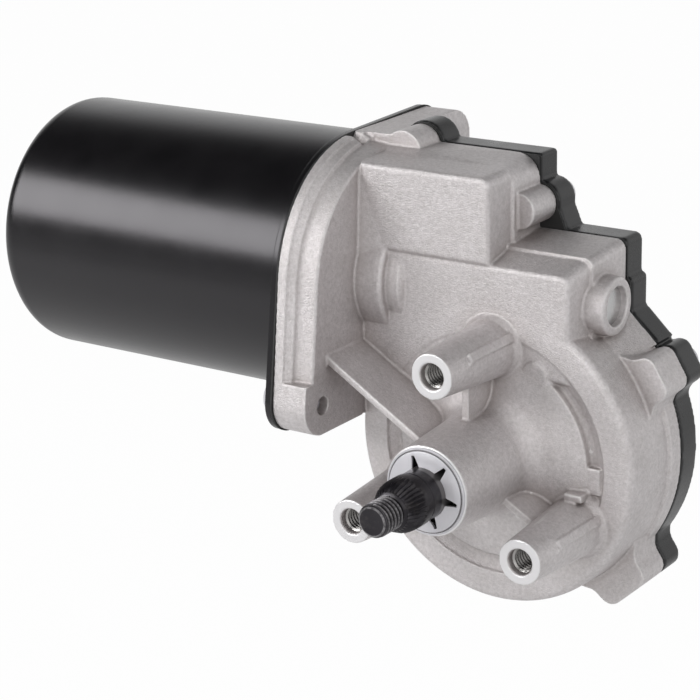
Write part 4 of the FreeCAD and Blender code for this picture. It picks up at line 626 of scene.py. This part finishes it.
def ease_box_step(bm):
    """Run the top of the upper box smoothly into its higher back."""
    for spot in bm.verts:
        if abs(spot.co.y - BOX_STEP_PLANE) < ON_PLANE and spot.co.z > BOX_FRONT_TOP:
            spot.co.z = BOX_FRONT_TOP


def cast_housing():
    """The housing with the soft edges and fillets of a die casting."""
    bm = copy_of_node("gear_housing")
    widen_bores(bm)
    ease_box_step(bm)
    piece = mesh_object("housing_casting", bm)
    reskin(piece, HOUSING_SKIN, HOUSING_SOFTEN, HOUSING_TRIANGLES)
    finish_as(piece, "die_cast")
    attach(piece, "housing")
    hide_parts("gear_housing")


def boss_threads():
    """The threads of the three mounting bosses, seated in the casting."""
    bm = bmesh.new()
    section = ridge(BOSS_THREAD_START, BOSS_THREAD_RADIUS + 0.03 * MM, BOSS_BORE_RADIUS,
                    0.44 * BOSS_THREAD_PITCH, 0.07 * BOSS_THREAD_PITCH)
    for axis in boss_axes():
        thread(bm, section, BOSS_THREAD_PITCH, BOSS_THREAD_TURNS, BOSS_THREAD_STEPS, axis)
    piece = mesh_object("boss_threads", outward(bm))
    shade_smooth(piece, 50)
    finish_as(piece, "die_cast")
    # The bores' threads take the darker finish with painted shade inside the bores
    coat(piece, SHADED_TAPPED_FINISH)
    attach(piece, "housing")


def ear_screws():
    """The can's screws, with ends that stop short of the ears' faces."""
    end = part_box("can_screws")[1].x
    bm = copy_of_node("can_screws")
    for spot in bm.verts:
        if spot.co.x > end - 0.1 * MM:
            spot.co.x -= EAR_SCREW_RECESS
    piece = mesh_object("ear_screws", outward(bm))
    shade_smooth(piece, 30)
    finish_as(piece, "zinc_steel")
    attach(piece, "housing")
    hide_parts("can_screws")


def moulded_cover():
    """The plastic cover with the soft edges of a moulding."""
    piece = mesh_object("moulded_cover", copy_of_node("gear_cover"))
    reskin(piece, COVER_SKIN, COVER_SOFTEN, COVER_TRIANGLES)
    finish_as(piece, "black_plastic")
    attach(piece, "housing")
    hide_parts("gear_cover")


# Drive spindle

def place_ring(spots, y, radius, depth):
    """Set a toothed ring at a place along the shaft; every second spot is a tooth's root."""
    for spot in spots:
        angle = atan2(spot.co.z, spot.co.x)
        reach = radius - depth * (round(angle * DRIVE_TEETH / pi) % 2)
        spot.co = (reach * cos(angle), y, reach * sin(angle))


def drive_teeth(bm):
    """Toothed drive cone in front of the collar, for the crank arm."""
    depth = DRIVE_TOOTH_DEPTH
    rings = [
        (DRIVE_START + 0.2 * MM, DRIVE_NOSE_RADIUS, 0),
        (DRIVE_START + 0.7 * MM, DRIVE_NOSE_RADIUS + 0.6 * MM, depth),
        (DRIVE_START + 2.8 * MM, DRIVE_RADIUS - 0.2 * MM, depth),
        (DRIVE_START + 4.8 * MM, DRIVE_RADIUS, depth),
        (DRIVE_START + 5.8 * MM, DRIVE_RADIUS, 0),
        (DRIVE_END - 0.3 * MM, DRIVE_RADIUS, 0),
        (DRIVE_END, DRIVE_RADIUS - 0.3 * MM, 0),
    ]
    spots = bmesh.ops.create_circle(bm, cap_ends=False, radius=DRIVE_RADIUS, segments=2 * DRIVE_TEETH,
                                    matrix=Matrix.Rotation(pi / 2, 4, "X"))["verts"]
    edges = list(dict.fromkeys(edge for spot in spots for edge in spot.link_edges))
    place_ring(spots, *rings[0])
    bmesh.ops.edgeloop_fill(bm, edges=edges)
    for ring in rings[1:]:
        made = bmesh.ops.extrude_edge_only(bm, edges=edges)["geom"]
        edges = [item for item in made if isinstance(item, bmesh.types.BMEdge)]
        place_ring([item for item in made if isinstance(item, bmesh.types.BMVert)], *ring)
    bmesh.ops.edgeloop_fill(bm, edges=edges)


def drive_spindle():
    """Output shaft with its threaded stud, toothed cone, collar and plain journal."""
    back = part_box("output_shaft")[1].y
    bm = bmesh.new()
    turned(bm, [
        (SPINDLE_TIP, 0),
        (SPINDLE_TIP, SPINDLE_TIP_RADIUS),
        (SPINDLE_TIP + 0.6 * MM, STUD_THREAD_RADIUS - 0.15 * MM),
        (SPINDLE_TIP + 0.9 * MM, STUD_CORE_RADIUS),
        (DRIVE_START - 0.3 * MM, STUD_CORE_RADIUS),
        (DRIVE_START, DRIVE_NOSE_RADIUS - 0.3 * MM),
        (DRIVE_START + 0.3 * MM, DRIVE_NOSE_RADIUS),
        (DRIVE_END - 0.3 * MM, DRIVE_NOSE_RADIUS),
        (DRIVE_END - 0.2 * MM, SPINDLE_RADIUS - 0.35 * MM),
        (DRIVE_END + 0.3 * MM, SPINDLE_RADIUS - 0.35 * MM),
        (DRIVE_END + 0.6 * MM, SPINDLE_RADIUS),
        (back - 0.5 * MM, SPINDLE_RADIUS),
        (back, SPINDLE_RADIUS - 0.5 * MM),
        (back, 0),
    ])
    section = ridge(SPINDLE_TIP + 1.0 * MM, STUD_CORE_RADIUS - 0.05 * MM, STUD_THREAD_RADIUS,
                    0.46 * STUD_THREAD_PITCH, 0.08 * STUD_THREAD_PITCH)
    thread(bm, section, STUD_THREAD_PITCH, STUD_THREAD_TURNS, STUD_THREAD_STEPS)
    drive_teeth(bm)
    piece = mesh_object("drive_spindle", outward(bm))
    shade_smooth(piece, 30)
    finish_as(piece, "dark_steel")
    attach(piece, "output")
    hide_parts("output_shaft")


def slot_cutters():
    """Wedges that cut the washer's slots, wide at the shaft and narrow at their ends."""
    bm = bmesh.new()
    tip = (WASHER_SLOT_REACH, WASHER_SLOT_TIP)
    root = (SPINDLE_RADIUS - 1 * MM, WASHER_SLOT_ROOT)
    for i in range(WASHER_SLOTS):
        corners = bmesh.ops.create_cube(bm, size=1)["verts"]
        for spot in corners:
            out, width = tip if spot.co.x > 0 else root
            spot.co = (out, spot.co.y * WASHER_CUTTER_DEPTH + WASHER_FACE, spot.co.z * width)
        turn = Matrix.Rotation(-radians(WASHER_SLOT_TURN + 360 * i / WASHER_SLOTS), 3, "Y")
        bmesh.ops.rotate(bm, verts=corners, matrix=turn)
    return mesh_object("slot_cutters", outward(bm))


def star_spring():
    """Push-on washer: a slotted disc with a fine raised rim."""
    grip = SPINDLE_RADIUS + 0.02 * MM
    rim = WASHER_RIM_RADIUS
    bm = bmesh.new()
    turned(bm, [
        (WASHER_FACE - WASHER_DISH, grip),
        (WASHER_FACE - 0.1 * MM, grip + 1.6 * MM),
        (WASHER_FACE, WASHER_RADIUS - 0.3 * MM),
        (WASHER_FACE + 0.1 * MM, WASHER_RADIUS - 0.08 * MM),
        (WASHER_FACE + 0.45 * MM, WASHER_RADIUS),
        (WASHER_FACE + 0.45 * MM, WASHER_RADIUS + 0.15 * MM),
        (WASHER_FACE + 0.3 * MM, WASHER_RADIUS + 0.25 * MM),
        (WASHER_FACE + 0.3 * MM, rim - 0.15 * MM),
        (WASHER_FACE + 0.45 * MM, rim),
        (WASHER_SEAT, rim),
        (WASHER_SEAT, WASHER_RADIUS - 1.0 * MM),
        (WASHER_FACE + WASHER_THICKNESS - WASHER_DISH, grip),
        (WASHER_FACE - WASHER_DISH, grip),
    ])
    piece = mesh_object("star_spring", outward(bm))
    cutters = slot_cutters()
    cut = piece.modifiers.new("slots", "BOOLEAN")
    cut.operation = "DIFFERENCE"
    cut.object = cutters
    settle(piece)
    bpy.data.objects.remove(cutters)
    shade_smooth(piece, 35)
    finish_as(piece, "zinc_steel")
    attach(piece, "output")
    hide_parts("star_washer")


# Camera, lamps and surroundings

def camera_turn():
    """Rotation of a camera that looks from the fitted azimuth and elevation, rolled."""
    azimuth = radians(CAMERA_AZIMUTH)
    elevation = radians(CAMERA_ELEVATION)
    forward = Vector((-sin(azimuth) * cos(elevation), cos(azimuth) * cos(elevation), -sin(elevation)))
    right = forward.cross(Vector((0, 0, 1))).normalized()
    turn = Matrix.Rotation(radians(CAMERA_ROLL), 3, -forward)
    right = turn @ right
    up = right.cross(forward)
    return Matrix((right, up, -forward)).transposed()


def add_camera():
    """The camera that sees the motor as the photograph does."""
    camera = bpy.data.objects.new("camera", bpy.data.cameras.new("camera"))
    camera.data.lens = CAMERA_LENS
    camera.data.sensor_width = SENSOR_WIDTH
    camera.data.clip_start = 0.01
    camera.location = CAMERA_PLACE
    camera.rotation_euler = camera_turn().to_euler()
    bpy.context.scene.collection.objects.link(camera)
    bpy.context.scene.camera = camera


def add_lamp(name, direction, distance, size, strength):
    """A soft rectangular lamp that looks at the object from one direction."""
    lamp = bpy.data.lights.new(name, "AREA")
    lamp.shape = "RECTANGLE"
    lamp.size, lamp.size_y = size
    lamp.energy = strength * pi * size[0] * size[1]
    holder = bpy.data.objects.new(name, lamp)
    toward = Vector(direction).normalized()
    holder.location = LAMP_AIM + toward * distance
    holder.rotation_euler = toward.to_track_quat("Z", "Y").to_euler()
    bpy.context.scene.collection.objects.link(holder)


def room_regions(tree):
    """Soft masks of the directions in which the room differs."""
    split = node(tree, "SeparateXYZ")
    tree.links.new(node(tree, "TexCoord").outputs["Generated"], split.inputs[0])
    x, y, z = split.outputs
    return {
        "right": mask_range(tree, x, -0.25, 0.25, smooth=True),
        "below": mask_range(tree, z, 0.15, -0.15, smooth=True),
        "low": mask_range(tree, z, 0.75, 0.35, smooth=True),
        "behind": mask_range(tree, y, 0.1, 0.6, smooth=True),
        "front": mask_range(tree, y, 0.5, 0.0, smooth=True),
    }


def backdrop(tree, regions):
    """1 where the pale backdrop stands, behind the object and at its right."""
    return product(tree, regions["low"], math_node(tree, "MAXIMUM", regions["behind"], regions["right"]))


def room_light(tree, regions):
    """Strength of the room by direction: floor, backdrop and right side, and a dim ceiling."""
    right = regions["right"]
    left = math_node(tree, "SUBTRACT", 1.0, right)
    below = regions["below"]
    above = math_node(tree, "SUBTRACT", 1.0, below)
    behind = product(tree, regions["behind"], regions["low"], above)
    front = product(tree, regions["front"], regions["low"], above)
    level = OVERHEAD_LIGHT
    for amount, region, side in (
        (FLOOR_LEFT_LIGHT, below, left),
        (FLOOR_RIGHT_LIGHT, below, right),
        (BACK_LEFT_LIGHT, behind, left),
        (BACK_RIGHT_LIGHT, behind, right),
        (SIDE_RIGHT_LIGHT, front, right),
    ):
        level = math_node(tree, "ADD", level, product(tree, region, side, amount))
    return level


def mirrored(tree, share):
    """Share of white for the rays that show surroundings in metal and glass."""
    path = node(tree, "LightPath")
    either = math_node(tree, "MAXIMUM", path.outputs["Is Glossy Ray"], path.outputs["Is Transmission Ray"])
    return product(tree, either, share)


def whiten(tree, share, plain, white, surface):
    """Send a plain shader to a surface, and a share of white over it."""
    mix = node(tree, "MixShader")
    tree.links.new(share, mix.inputs[0])
    tree.links.new(plain.outputs[0], mix.inputs[1])
    tree.links.new(white.outputs[0], mix.inputs[2])
    tree.links.new(mix.outputs[0], surface)


def surroundings():
    """White for the camera; the pale backdrop for metal and glass, over the room's light."""
    world = bpy.data.worlds.new("studio")
    world.use_nodes = True
    tree = world.node_tree
    tree.nodes.clear()
    out = node(tree, "OutputWorld")
    white = node(tree, "Background")
    white.inputs["Color"].default_value = (1, 1, 1, 1)
    regions = room_regions(tree)
    reflected = product(tree, mirrored(tree, MIRRORED_BACKDROP), backdrop(tree, regions))
    seen = math_node(tree, "MAXIMUM", node(tree, "LightPath").outputs["Is Camera Ray"], reflected)
    room = node(tree, "Background")
    tree.links.new(room_light(tree, regions), room.inputs["Strength"])
    whiten(tree, seen, room, white, out.inputs["Surface"])
    bpy.context.scene.world = world


def floor_finish():
    """Pale floor: nearly white as a background, partly so in reflections, and pale to the light."""
    material = bpy.data.materials.new("pale_floor")
    material.use_nodes = True
    tree = material.node_tree
    tree.nodes.clear()
    out = node(tree, "OutputMaterial")
    pale = node(tree, "BsdfDiffuse")
    pale.inputs["Color"].default_value = (*FLOOR_COLOUR, 1)
    white = node(tree, "Emission")
    camera = node(tree, "LightPath").outputs["Is Camera Ray"]
    background = product(tree, camera, 1.0 - FLOOR_SHADOW)
    seen = math_node(tree, "MAXIMUM", background, mirrored(tree, MIRRORED_FLOOR))
    whiten(tree, seen, pale, white, out.inputs["Surface"])
    return material


def add_floor():
    """Pale floor well below the part, which hangs by its mounting bosses."""
    bm = bmesh.new()
    bmesh.ops.create_grid(bm, x_segments=1, y_segments=1, size=FLOOR_REACH)
    bmesh.ops.translate(bm, verts=bm.verts, vec=(0, 0, cad_box[0][2] - FLOOR_DROP))
    floor = mesh_object("floor", bm)
    floor.data.materials.append(floor_finish())


dress_nodes()
cast_housing()
boss_threads()
ear_screws()
moulded_cover()
drive_spindle()
star_spring()
add_camera()
for lamp in LAMPS:
    add_lamp(*lamp)
add_floor()
surroundings()
bpy.context.scene.view_settings.view_transform = "Standard"
